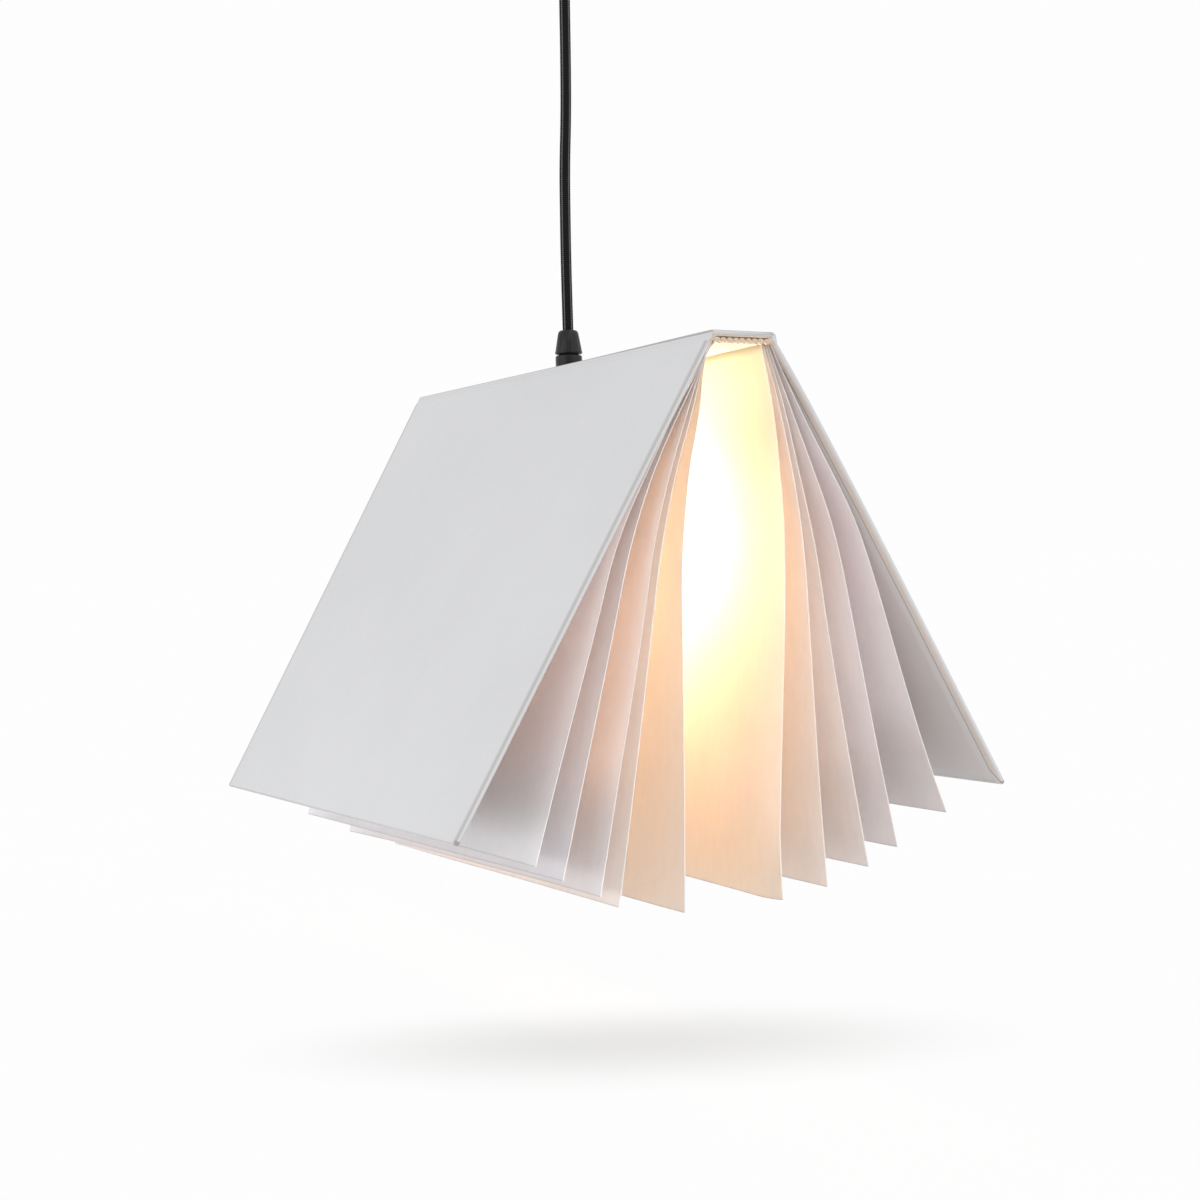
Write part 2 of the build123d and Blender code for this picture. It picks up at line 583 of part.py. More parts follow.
# ---------------------------------------------------------------- leaves
# Each leaf is the hanging half of a creased sheet. Its near edge is a line of (x, z)
# points; towards the far end its tip moves by (dx, dz), and bulge pushes the middle
# out round the bulb. 1 is the outermost leaf on each side.
LEAVES = {
    "left_1": (0, [(-32.2, -31.0), (-48.4, -58.0), (-63.4, -85.0), (-70.9, -102.3), (-76.6, -119.7), (-99.2, -188.0), (-113.5, -233.0)], 2.5, -1.5, 0.0),
    "left_2": (1, [(-30.2, -31.0), (-45.7, -58.4), (-57.3, -85.0), (-63.2, -102.5), (-67.9, -120.0), (-86.4, -189.0), (-100.3, -240.6)], 3.6, -4.4, 0.0),
    "left_3": (2, [(-27.3, -31.0), (-37.7, -58.4), (-46.3, -85.0), (-50.7, -102.8), (-54.1, -120.5), (-69.1, -190.4), (-81.9, -249.6)], 11.0, -8.1, 0.0),
    "left_4": (3, [(-25.3, -31.0), (-34.7, -58.3), (-42.4, -85.0), (-46.5, -102.9), (-49.6, -120.6), (-61.2, -191.1), (-72.6, -255.4)], 30.6, -12.6, 0.0),
    "left_5": (4, [(-22.3, -31.0), (-28.5, -58.3), (-32.6, -85.3), (-34.6, -103.2), (-35.4, -121.1), (-36.7, -193.0), (-38.5, -261.8)], 7.0, -1.0, -0.8),
    "right_1": (0, [(30.6, -31.0), (46.7, -58.0), (63.0, -86.5), (70.9, -105.7), (77.6, -125.0), (104.6, -204.2), (115.3, -230.8)], 0.6, 0.3, 0.0),
    "right_2": (1, [(26.0, -31.0), (37.5, -58.0), (48.8, -86.3), (54.2, -105.3), (58.4, -124.4), (74.6, -201.8), (84.1, -244.7)], -2.0, -0.6, 0.0),
    "right_3": (2, [(22.7, -31.0), (29.8, -58.1), (36.7, -86.1), (40.6, -105.0), (43.5, -123.9), (56.5, -200.4), (66.2, -252.3)], -3.0, -0.6, 0.6),
    "right_4": (3, [(20.1, -31.0), (26.4, -58.1), (31.3, -86.1), (33.2, -104.8), (34.3, -123.5), (37.7, -198.9), (41.4, -259.2)], 2.0, 0.2, 2.4),
    "right_5": (4, [(16.7, -31.0), (19.8, -58.1), (21.7, -85.9), (21.7, -104.5), (21.1, -123.1), (16.8, -197.2), (13.2, -262.8)], 1.5, 0.4, 6.5),
}
BULGE = [0.25, 0.62, 0.92, 1.0, 0.97, 0.8, 0.66]
WARP = [(1.9, 3.2, 3.6, 3.0, 2.4, 2.3, 2.5), (0.9, 2.1, 2.4, 2.2, 2.1, 2.6, 3.6)]  # the two leaves beside the warped cover follow it


def leaf_line(index, points, dx, dz, bulge, far, mid):
    "the leaf's middle line at a section: far runs 0 to 1 along the spine, mid is 1 at the middle"
    side = -1 if points[0][0] < 0 else 1
    cx, cz = side * CREASE_X[index], -CREASE_Z[index]
    drop = cz - points[-1][1]
    line = [(cx + (points[0][0] - cx) * 0.35 / (cz - points[0][1]), cz - 0.35)]
    for k, ((px, pz), b) in enumerate(zip(points, BULGE)):
        d = (cz - pz) / drop
        shift = WARP[index][k] if side < 0 and index < 2 else dx * d**1.6
        line.append((px + far * shift + mid * bulge * b, pz + far * dz * d**2))
    return line


for key, (index, points, dx, dz, bulge) in LEAVES.items():
    with BuildPart() as leaf:
        for y, far, mid in ((-SHEET_Y, 0.0, 0.0), (0.0, 0.5 if key in ("left_1", "left_2") else 0.27, 1.0), (SHEET_Y, 1.0, 0.0)):
            line = leaf_line(index, points, dx, dz, bulge, far, mid)
            h = SHEET_T / 2 + 0.01
            outer = [(x - h, v) for x, v in line]
            inner = [(x + h, v) for x, v in reversed(line)]
            with BuildSketch(across(y)):
                with BuildLine():
                    Spline(*outer)
                    Line(outer[-1], inner[0])
                    Spline(*inner)
                    Line(inner[-1], outer[0])
                make_face()
        loft()
    leaf.part.label = "leaf_" + key
    export_step(leaf.part, f"parts/leaf_{key}.step")
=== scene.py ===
import json
import math
import random

import bmesh
import bpy
import numpy as np
from mathutils import Matrix, Vector

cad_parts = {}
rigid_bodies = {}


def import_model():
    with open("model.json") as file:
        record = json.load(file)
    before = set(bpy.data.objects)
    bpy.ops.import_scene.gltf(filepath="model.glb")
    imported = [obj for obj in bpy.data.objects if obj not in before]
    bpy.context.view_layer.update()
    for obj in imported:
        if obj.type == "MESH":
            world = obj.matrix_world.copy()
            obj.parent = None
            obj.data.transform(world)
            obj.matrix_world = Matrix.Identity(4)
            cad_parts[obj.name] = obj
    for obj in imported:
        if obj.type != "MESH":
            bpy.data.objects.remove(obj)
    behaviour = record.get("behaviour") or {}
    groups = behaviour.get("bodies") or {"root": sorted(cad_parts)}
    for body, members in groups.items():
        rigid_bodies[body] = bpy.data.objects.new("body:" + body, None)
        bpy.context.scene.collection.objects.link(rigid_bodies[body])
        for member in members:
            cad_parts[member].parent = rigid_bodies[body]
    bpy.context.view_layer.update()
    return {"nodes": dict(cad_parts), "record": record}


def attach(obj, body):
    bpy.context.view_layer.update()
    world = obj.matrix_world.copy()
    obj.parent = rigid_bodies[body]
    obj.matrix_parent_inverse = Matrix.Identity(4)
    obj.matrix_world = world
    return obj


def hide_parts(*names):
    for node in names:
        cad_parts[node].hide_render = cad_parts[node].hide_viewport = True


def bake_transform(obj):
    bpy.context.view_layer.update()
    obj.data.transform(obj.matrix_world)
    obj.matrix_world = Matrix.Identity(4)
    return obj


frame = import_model()
NODES = frame["nodes"]
scene = bpy.context.scene

# ------------------------------------------------------------------ camera
RIGHT = (0.86538846, -0.50028398, -0.02861393)
AHEAD = (0.49990276, 0.86585698, -0.01972094)
UP = (0.03464164, 0.0027621, 0.99939598)
EYE = (-0.4753855, -0.8419050, -0.3660588)
lens = bpy.data.cameras.new("camera")
lens.lens = 54.24
lens.sensor_width = 36.0
camera = bpy.data.objects.new("camera", lens)
scene.collection.objects.link(camera)
camera.matrix_world = Matrix([[RIGHT[i], UP[i], -AHEAD[i], EYE[i]] for i in range(3)] + [[0, 0, 0, 1]])
scene.camera = camera

# ------------------------------------------------------------------ shared shape helpers
# Millimetres on the shade: x across the spine from its middle, y along it from its
# middle, z above its top face.
SHADE = (-2.4, 0.2, -262.0)
HOLE = (-3.2, 1.8)  # the cord's upright axis at the shade
HW = 16.7
END = 160.0


def place(points):
    "millimetres on the shade to metres in the part's frame"
    return (np.asarray(points, float) + np.array(SHADE)) / 1000.0


def mesh_object(name, verts, faces, flat_faces=(), uv=None):
    me = bpy.data.meshes.new(name)
    me.from_pydata([tuple(v) for v in verts], [], [tuple(f) for f in faces])
    smooth = np.ones(len(me.polygons), bool)
    smooth[list(flat_faces)] = False
    me.polygons.foreach_set("use_smooth", smooth)
    if uv is not None:
        layer = me.uv_layers.new(name="UVMap")
        index = np.zeros(len(me.loops), int)
        me.loops.foreach_get("vertex_index", index)
        layer.data.foreach_set("uv", np.asarray(uv, float)[index].ravel())
    me.update()
    ob = bpy.data.objects.new(name, me)
    scene.collection.objects.link(ob)
    return ob


def grid_faces(rows, cols, start=0, wrap=False, flip=False):
    out = []
    for i in range(rows - 1):
        for j in range(cols if wrap else cols - 1):
            a = start + i * cols + j
            b = start + i * cols + (j + 1) % cols
            face = (a, b, b + cols, a + cols)
            out.append(face[::-1] if flip else face)
    return out


def ripple(seed, u, v, waves):
    "smooth pseudo-random height at u, v, which run 0 to 1"
    r = random.Random(seed)
    total = np.zeros(np.broadcast(u, v).shape)
    for amount, fu, fv in waves:
        total = total + amount * np.sin(2 * math.pi * (fu * u + r.random())) * np.cos(2 * math.pi * (fv * v + r.random()))
    return total


def curve_through(points, count):
    "natural cubic through points, evenly spaced by length"
    p = np.asarray(points, float)
    t = np.concatenate([[0], np.cumsum(np.linalg.norm(np.diff(p, axis=0), axis=1))])
    n, h = len(p), np.diff(t)
    A = np.zeros((n, n))
    B = np.zeros_like(p)
    A[0, 0] = A[-1, -1] = 1
    for i in range(1, n - 1):
        A[i, i - 1], A[i, i], A[i, i + 1] = h[i - 1], 2 * (h[i - 1] + h[i]), h[i]
        B[i] = 6 * ((p[i + 1] - p[i]) / h[i] - (p[i] - p[i - 1]) / h[i - 1])
    m = np.linalg.solve(A, B)
    out = []
    for s in (np.linspace(0, 1, count) if isinstance(count, int) else count) * t[-1]:
        i = min(int(np.searchsorted(t, s, "right")) - 1, n - 2)
        a, b = t[i + 1] - s, s - t[i]
        out.append((m[i] * a**3 + m[i + 1] * b**3) / (6 * h[i]) + (p[i] / h[i] - m[i] * h[i] / 6) * a + (p[i + 1] / h[i] - m[i + 1] * h[i] / 6) * b)
    return np.array(out)


# ------------------------------------------------------------------ the hanging cord
route = [
    (-0.0032, 0.0018, -0.276),
    (-0.0032, 0.0018, -0.240),
    (-0.0032215, 0.00186, -0.204),
    (-0.0029011, 0.001675, -0.176),
    (-0.0025547, 0.001475, -0.154),
    (-0.0012557, 0.000725, -0.126),
    (-0.0006928, 0.0004, -0.096),
    (-0.0003637, 0.00021, -0.062),
    (0.0, 0.0, -0.031),
]
line = bpy.data.curves.new("cord_line", "CURVE")
line.dimensions = "3D"
line.resolution_u = 24
spline = line.splines.new("NURBS")
spline.points.add(len(route) - 1)
for point, where in zip(spline.points, route):
    point.co = (*where, 1.0)
spline.order_u = 3
spline.use_endpoint_u = True
line_object = bpy.data.objects.new("cord_line", line)
scene.collection.objects.link(line_object)
bpy.context.view_layer.update()
read = bpy.data.meshes.new_from_object(line_object)
cord_points = [tuple(v.co) for v in read.vertices]
bpy.data.objects.remove(line_object)

CORD_R = 2.9e-3


def braided_tube(name, points, radius, step, around, relief):
    "a tube along points whose skin stands out by relief(angle, length), with flat ends"
    p = np.asarray(points, float)
    t = np.concatenate([[0], np.cumsum(np.linalg.norm(np.diff(p, axis=0), axis=1))])
    s = np.linspace(0, t[-1], int(t[-1] / step) + 1)
    c = np.stack([np.interp(s, t, p[:, k]) for k in range(3)], 1)
    along = np.gradient(c, axis=0)
    along /= np.linalg.norm(along, axis=1)[:, None]
    side = np.cross(along, (0.0, 1.0, 0.0))
    side /= np.linalg.norm(side, axis=1)[:, None]
    other = np.cross(along, side)
    a = np.linspace(0, 2 * math.pi, around, endpoint=False)
    A, S = np.meshgrid(a, s)
    R = radius + relief(A, S)
    v = c[:, None, :] + R[..., None] * (np.cos(A)[..., None] * side[:, None, :] + np.sin(A)[..., None] * other[:, None, :])
    rows = len(s)
    verts = list(v.reshape(-1, 3))
    uv = np.stack([A / (2 * math.pi), S * 100], -1).reshape(-1, 2).tolist()
    faces = grid_faces(rows, around, wrap=True, flip=True)
    for row, end in ((0, 0), (rows - 1, -1)):
        verts.append(c[end])
        uv.append([0.0, s[end] * 100])
        hub = len(verts) - 1
        for j in range(around):
            q, w = row * around + j, row * around + (j + 1) % around
            faces.append((hub, q, w) if end == 0 else (hub, w, q))
    return mesh_object(name, verts, faces, uv=uv)


def cord_skin(a, s):
    "two sets of plaits that cross, with their crossings in rows"
    rows, plaits = s / 1.5e-3, 8 * a / (2 * math.pi)
    left = np.cos(2 * math.pi * (rows + plaits))
    right = np.cos(2 * math.pi * (rows - plaits))
    return 1.5e-4 * (0.55 * np.maximum(left, right) + 0.45 * np.cos(2 * math.pi * 2 * rows)) - 1.0e-4


cord = braided_tube("cord", cord_points, CORD_R, 1.9e-4, 40, cord_skin)
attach(cord, "pendant")
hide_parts("power_cord")


# ------------------------------------------------------------------ materials
class Nodes:
    "short way to build a node tree"

    def __init__(self, name):
        self.material = bpy.data.materials.new(name)
        self.material.use_nodes = True
        self.tree = self.material.node_tree
        self.tree.nodes.clear()
        self.out = self.add("ShaderNodeOutputMaterial")

    def add(self, kind, **values):
        node = self.tree.nodes.new(kind)
        for key, value in values.items():
            setattr(node, key, value)
        return node

    def link(self, a, b):
        self.tree.links.new(a, b)

    def put(self, socket, value):
        if isinstance(value, bpy.types.NodeSocket):
            self.link(value, socket)
        elif socket.type == "RGBA" and len(value) == 3:
            socket.default_value = (*value, 1.0)
        else:
            socket.default_value = value

    def where(self, scale=(1, 1, 1), use="Object"):
        coords = self.add("ShaderNodeTexCoord")
        mapping = self.add("ShaderNodeMapping")
        mapping.inputs["Scale"].default_value = scale
        self.link(coords.outputs[use], mapping.inputs["Vector"])
        return mapping.outputs["Vector"]

    def noise(self, scale, detail=4.0, roughness=0.55, vector=None, stretch=(1, 1, 1)):
        node = self.add("ShaderNodeTexNoise")
        node.inputs["Scale"].default_value = scale
        node.inputs["Detail"].default_value = detail
        node.inputs["Roughness"].default_value = roughness
        self.link(vector or self.where(stretch), node.inputs["Vector"])
        return node.outputs["Fac"]

    def spread(self, value, low, high, to_low=0.0, to_high=1.0):
        node = self.add("ShaderNodeMapRange")
        node.interpolation_type = "SMOOTHSTEP"
        self.put(node.inputs["Value"], value)
        for key, v in (("From Min", low), ("From Max", high), ("To Min", to_low), ("To Max", to_high)):
            node.inputs[key].default_value = v
        return node.outputs["Result"]

    def math(self, operation, a, b=0.0, c=0.0):
        node = self.add("ShaderNodeMath", operation=operation)
        for socket, v in zip(node.inputs, (a, b, c)):
            self.put(socket, v)
        return node.outputs[0]

    def mix(self, factor, a, b):
        node = self.add("ShaderNodeMix", data_type="RGBA")
        self.put(node.inputs[0], factor)
        self.put(node.inputs[6], a)
        self.put(node.inputs[7], b)
        return node.outputs[2]

    def scaled(self, color, factor):
        node = self.add("ShaderNodeVectorMath", operation="SCALE")
        self.link(color, node.inputs[0])
        self.put(node.inputs["Scale"], factor)
        return node.outputs[0]

    def times(self, a, b):
        node = self.add("ShaderNodeVectorMath", operation="MULTIPLY")
        self.put(node.inputs[0], a)
        self.put(node.inputs[1], b)
        return node.outputs[0]

    def bump(self, height, strength=0.2, distance=0.0002, normal=None):
        node = self.add("ShaderNodeBump")
        node.inputs["Strength"].default_value = strength
        node.inputs["Distance"].default_value = distance
        self.put(node.inputs["Height"], height)
        if normal is not None:
            self.link(normal, node.inputs["Normal"])
        return node.outputs["Normal"]

    def shader(self, color, roughness, metallic=0.0, normal=None, **more):
        node = self.add("ShaderNodeBsdfPrincipled")
        self.put(node.inputs["Base Color"], color)
        self.put(node.inputs["Roughness"], roughness)
        node.inputs["Metallic"].default_value = metallic
        if normal is not None:
            self.link(normal, node.inputs["Normal"])
        for key, v in more.items():
            self.put(node.inputs[key.replace("_", " ")], v)
        return node.outputs["BSDF"]

    def done(self, shader):
        self.link(shader, self.out.inputs["Surface"])
        return self.material


def plain(name, dark, light, rough, scale=180.0, metallic=0.0, bump=0.1, grain=2500.0, stretch=(1, 1, 1), gleam=0.5):
    "mottled colour, uneven gloss and a fine grain"
    n = Nodes(name)
    mottle = n.noise(scale, 5.0, 0.6, stretch=stretch)
    color = n.mix(n.spread(mottle, 0.3, 0.7), dark, light)
    gloss = n.spread(n.noise(scale * 2.3, 3.0), 0.25, 0.75, rough[0], rough[1])
    normal = n.bump(n.noise(grain, 3.0, stretch=stretch), bump, 0.00015)
    return n.done(n.shader(color, gloss, metallic, normal, Specular_IOR_Level=gleam))


paint = plain("fitting_paint", (0.018, 0.018, 0.020), (0.030, 0.030, 0.032), (0.38, 0.55))
steel = plain("steel", (0.42, 0.42, 0.43), (0.62, 0.62, 0.63), (0.28, 0.42), metallic=1.0, stretch=(1, 1, 5))
# black plastic: noise stretched upright paints light and dark streaks in colour and gloss, a painted reflection
# standing in for light off the grip's facets
black_plastic = plain("black_plastic", (0.002, 0.002, 0.002), (0.030, 0.030, 0.032), (0.24, 0.50), scale=330.0, bump=0.05, grain=4200.0, stretch=(1, 1, 0.04), gleam=0.26)
white_plastic = plain("white_plastic", (0.72, 0.71, 0.68), (0.82, 0.81, 0.78), (0.4, 0.55))
brown_core = plain("brown_core", (0.13, 0.055, 0.028), (0.20, 0.09, 0.045), (0.42, 0.6))
rubber = plain("rubber", (0.018, 0.018, 0.018), (0.035, 0.035, 0.035), (0.65, 0.85))
porcelain = plain("porcelain", (0.72, 0.70, 0.66), (0.84, 0.82, 0.78), (0.35, 0.6))
brass = plain("brass", (0.50, 0.33, 0.12), (0.66, 0.47, 0.20), (0.22, 0.4), metallic=1.0, stretch=(1, 1, 4))
bulb_post = plain("bulb_post", (0.66, 0.66, 0.66), (0.80, 0.80, 0.80), (0.3, 0.45), metallic=0.8)
grey_board = plain("cover_board", (0.32, 0.30, 0.26), (0.44, 0.41, 0.37), (0.8, 0.95), scale=420.0, bump=0.3)
# dark brown for a painted shadow gap under the spine's lining
gap_shade_paint = plain("painted_gap_shade", (0.20, 0.125, 0.075), (0.32, 0.21, 0.13), (0.6, 0.8), scale=400.0)
lining = plain("lining_paper", (0.70, 0.56, 0.42), (0.86, 0.74, 0.60), (0.75, 0.9), scale=260.0, bump=0.2)


def cord_material():
    n = Nodes("cord_textile")
    uv = n.add("ShaderNodeSeparateXYZ")
    n.link(n.where(use="UV"), uv.inputs[0])
    turn, length = uv.outputs[0], uv.outputs[1]
    thread = n.noise(9000.0, 2.0, 0.7)
    color = n.mix(n.spread(thread, 0.3, 0.7), (0.004, 0.004, 0.005), (0.012, 0.012, 0.014))
    dash = n.spread(n.math("SINE", n.math("MULTIPLY", length, 2 * math.pi / 0.11)), -0.5, 0.3)
    # painted highlights: lighter dotted rows at four fixed turns round the cord, where the braid's crossings catch the
    # light
    for angle in GLINT_ROWS:
        near = n.math("ABSOLUTE", n.math("SUBTRACT", turn, angle))
        stripe = n.math("MULTIPLY", n.spread(near, 0.012, 0.026, 1.0, 0.0), dash)
        color = n.mix(n.math("MULTIPLY", stripe, 0.85), color, (0.30, 0.30, 0.305))
    return n.done(n.shader(color, n.spread(n.noise(3000.0), 0.3, 0.7, 0.6, 0.85), normal=n.bump(thread, 0.35, 0.0001), Specular_IOR_Level=0.12))


# turns round the cord (0 to 1) where the painted highlight rows lie
GLINT_ROWS = (0.072, 0.295, 0.572, 0.795)
cord_textile = cord_material()


def cloth_material(name, low, high):
    """smooth pale book cloth, with painted shade along its rounded edges and folds: the corner attribute read here is 1
    where that painted shade is darkest
    """
    n = Nodes(name)
    cloud = n.noise(9.0, 3.0, 0.5)
    fibre = n.noise(900.0, 4.0, 0.65)
    color = n.mix(n.spread(cloud, 0.3, 0.7), low, high)
    color = n.mix(n.spread(fibre, 0.35, 0.65, 0.0, 0.25), color, (0.78, 0.78, 0.785))
    # painted shade along rounded edges and folds, read from a corner attribute
    edge_shade = n.add("ShaderNodeAttribute", attribute_name="edge_shade")
    color = n.mix(edge_shade.outputs["Fac"], color, (0.38, 0.355, 0.325))
    gloss = n.spread(n.noise(60.0, 3.0), 0.3, 0.7, 0.62, 0.78)
    return n.done(n.shader(color, gloss, normal=n.bump(n.noise(1600.0, 3.0), 0.10, 0.00012)))


cover_cloth = cloth_material("cover_cloth", (0.672, 0.676, 0.688), (0.702, 0.706, 0.718))
# a lighter copy of the cover cloth for the boards' end faces: painted light where the front light falls on them
lit_edge_cloth = cloth_material("cover_cloth_lit_edge", (0.76, 0.76, 0.78), (0.82, 0.82, 0.84))


def turn_in_material():
    """the inner faces of the covers: a border of turned-in cloth with a mitre at each corner, the cloth painted a warm
    pinkish grey that stands in for the lamp's warm light on it
    """
    n = Nodes("turned_cloth")
    cloud = n.noise(14.0, 3.0, 0.5)
    # painted warm light: a pinkish grey in place of the grey of the same cloth outside
    color = n.mix(n.spread(cloud, 0.3, 0.7), (0.68, 0.61, 0.56), (0.74, 0.67, 0.615))
    uv = n.add("ShaderNodeSeparateXYZ")
    n.link(n.where(use="UV"), uv.inputs[0])
    in_y = n.math("SUBTRACT", n.math("ABSOLUTE", uv.outputs[0]), 1.556)
    in_s = n.math("SUBTRACT", uv.outputs[1], 2.485)
    across = n.math("MULTIPLY", n.math("SUBTRACT", in_s, n.math("MULTIPLY", in_y, 1.9)), 0.5)
    color = n.mix(n.spread(across, -0.004, 0.004), color, (0.66, 0.645, 0.63))
    mitre = n.math("MULTIPLY", n.spread(n.math("ABSOLUTE", across), 0.0015, 0.0045, 1.0, 0.0), n.spread(in_s, -0.01, 0.0))
    seam = n.math("MULTIPLY", n.spread(n.math("ABSOLUTE", in_y), 0.0015, 0.0045, 1.0, 0.0), n.spread(in_s, -0.002, 0.002, 1.0, 0.0))
    color = n.mix(n.math("MINIMUM", n.math("ADD", mitre, seam), 1.0), color, (0.26, 0.22, 0.20))
    return n.done(n.shader(color, n.spread(n.noise(80.0), 0.3, 0.7, 0.7, 0.85), normal=n.bump(n.noise(1500.0, 3.0), 0.12, 0.00012)))


turned_cloth = turn_in_material()


def endpaper_material():
    n = Nodes("endpaper")
    cloud = n.noise(11.0, 2.0, 0.5)
    tint = n.noise(7.0, 2.0, 0.5, stretch=(1.0, 1.3, 0.6))
    color = n.mix(n.spread(cloud, 0.3, 0.7), (0.60, 0.575, 0.57), (0.65, 0.62, 0.61))
    color = n.mix(n.spread(tint, 0.4, 0.7, 0.0, 0.5), color, (0.60, 0.60, 0.56))
    grain = n.noise(700.0, 5.0, 0.7)
    color = n.mix(n.spread(grain, 0.4, 0.7, 0.0, 0.2), color, (0.70, 0.68, 0.66))
    return n.done(n.shader(color, n.spread(grain, 0.3, 0.7, 0.8, 0.95), normal=n.bump(grain, 0.15, 0.00012)))


endpaper = endpaper_material()


def leaf_material(name, painted_warmth, upper, lower, share, scatter=None, span=(0.75, 1.5, 1.6, 2.25), foot=(1.0, 1.0, 1.0)):
    "thin translucent sheet: UV x runs across the sheet from end to end, y down it, in units of 100 mm"
    n = Nodes(name)
    fibre = n.noise(260.0, 5.0, 0.62, stretch=(1, 1, 0.35))
    cloud = n.noise(22.0, 3.0, 0.5, stretch=(1, 1, 0.45))
    fine = n.noise(1500.0, 3.0, 0.7)
    amount = n.math("ADD", n.math("MULTIPLY", fibre, 0.5), n.math("MULTIPLY", cloud, 0.5))
    amount = n.spread(amount, 0.32, 0.68)
    # painted light: the sheet's colours are tinted warm by the first table value, standing in for the bulb's warm light
    # on it
    tone, shine = (tuple(a + (b - a) * painted_warmth for a, b in zip(p, q)) for p, q in (((0.94, 0.915, 0.925), (0.96, 0.86, 0.74)), ((0.985, 0.95, 0.94), (0.985, 0.92, 0.84))))
    skin = n.mix(amount, tuple(c * 0.96 for c in tone), tone)
    through = n.mix(amount, tuple(c * 0.95 for c in shine), shine)
    uv = n.add("ShaderNodeSeparateXYZ")
    n.link(n.where(use="UV"), uv.inputs[0])
    side = n.math("SUBTRACT", 1.58, n.math("ABSOLUTE", uv.outputs[0]))
    # painted light and shade: brightness runs from the foot value at the foot to the top value near the crease, and the
    # last half millimetre at the foot is a fifth darker
    painted_light_level = n.math("MULTIPLY", n.spread(uv.outputs[1], 0.1, 2.1, lower, upper), n.spread(uv.outputs[1], 0.002, 0.006, 0.8, 1.0))
    skin, through = n.scaled(skin, painted_light_level), n.scaled(through, painted_light_level)
    # painted light: a tint over the lowest 10 to 60 mm stands in for the colour of the light that reaches the sheet's
    # foot
    if foot != (1.0, 1.0, 1.0):
        low = n.mix(n.spread(uv.outputs[1], 0.1, 0.6), foot, (1.0, 1.0, 1.0))
        skin, through = n.times(skin, low), n.times(through, low)
    normal = n.bump(fine, 0.12, 0.0001, n.bump(cloud, 0.12, 0.0015))
    flat = n.add("ShaderNodeBsdfDiffuse")
    n.put(flat.inputs["Color"], skin)
    n.link(normal, flat.inputs["Normal"])
    clear = n.add("ShaderNodeBsdfTranslucent")
    n.put(clear.inputs["Color"], through)
    n.link(normal, clear.inputs["Normal"])
    both = n.add("ShaderNodeMixShader")
    both.inputs[0].default_value = share
    n.link(flat.outputs[0], both.inputs[1])
    n.link(clear.outputs[0], both.inputs[2])
    if scatter is None:
        return n.done(both.outputs[0])
    # light that has wandered about between the sheets
    wander = n.add("ShaderNodeEmission")
    wander.inputs["Color"].default_value = (*scatter, 1.0)
    n.put(wander.inputs["Strength"], n.math("MULTIPLY", n.spread(uv.outputs[1], span[0], span[1]), n.spread(uv.outputs[1], span[2], span[3], 1.0, 0.0)))
    total = n.add("ShaderNodeAddShader")
    n.link(both.outputs[0], total.inputs[0])
    n.link(wander.outputs[0], total.inputs[1])
    return n.done(total.outputs[0])


# per sheet: warmth (inner sheets painted warmer, standing in for more of the bulb's warm light), brightness near the
# crease and at the foot (painted light and shade down the sheet), share of diffuse to translucent, painted glow colour
# and span, and a painted tint at the foot
WIDE = (0.3, 0.65, 1.9, 2.4)
PAPER = {
    "left_1": (0.0, 1.02, 1.04, 0.72, (0.068, 0.053, 0.048), (0.2, 1.2, 1.7, 2.3), (0.95, 0.98, 0.985)),
    "left_2": (0.0, 0.88, 0.98, 0.69, None, WIDE, (0.95, 0.97, 0.99)),
    "left_3": (0.05, 1.0, 1.01, 0.76, (0.09, 0.06, 0.043), WIDE, (0.96, 0.985, 1.0)),
    "left_4": (0.3, 0.95, 1.0, 0.67),
    "left_5": (0.55, 0.85, 0.95, 0.55),
    "right_1": (0.0, 1.0, 0.95, 0.72, (0.052, 0.048, 0.053), WIDE),
    "right_2": (0.0, 1.02, 0.94, 0.71, (0.03, 0.03, 0.032), (0.3, 0.6, 1.0, 1.5)),
    "right_3": (0.2, 0.99, 0.98, 0.72, (0.018, 0.015, 0.012), (0.3, 0.6, 1.0, 1.5)),
    "right_4": (0.35, 1.0, 1.0, 0.72),
    "right_5": (0.35, 1.0, 1.0, 0.72, (0.06, 0.10, 0.055), (2.15, 2.5, 8.0, 9.0), (1.0, 0.98, 0.94)),
    "backs": (0.4, 0.80, 0.80, 0.25),
}
papers = {key: leaf_material("leaf_paper_" + key, *values) for key, values in PAPER.items()}
leaf_paper = papers["right_5"]


def rim_material():
    "the cut edges, which gather light from inside the sheet"
    n = Nodes("leaf_rim")
    color = n.mix(n.spread(n.noise(500.0, 3.0), 0.3, 0.7), (0.84, 0.79, 0.77), (0.90, 0.86, 0.84))
    base = n.shader(color, n.spread(n.noise(300.0), 0.3, 0.7, 0.6, 0.8))
    base.node.inputs["Emission Color"].default_value = (1.0, 0.95, 0.91, 1.0)
    base.node.inputs["Emission Strength"].default_value = 0.08
    return n.done(base)


leaf_rim = rim_material()


def band_material():
    n = Nodes("band")
    thread = n.noise(2400.0, 3.0, 0.7, stretch=(1, 1, 3))
    color = n.mix(n.spread(thread, 0.3, 0.7), (0.60, 0.47, 0.37), (0.82, 0.69, 0.57))
    return n.done(n.shader(color, n.spread(thread, 0.3, 0.7, 0.6, 0.8), normal=n.bump(thread, 0.5, 0.0002)))


band = band_material()


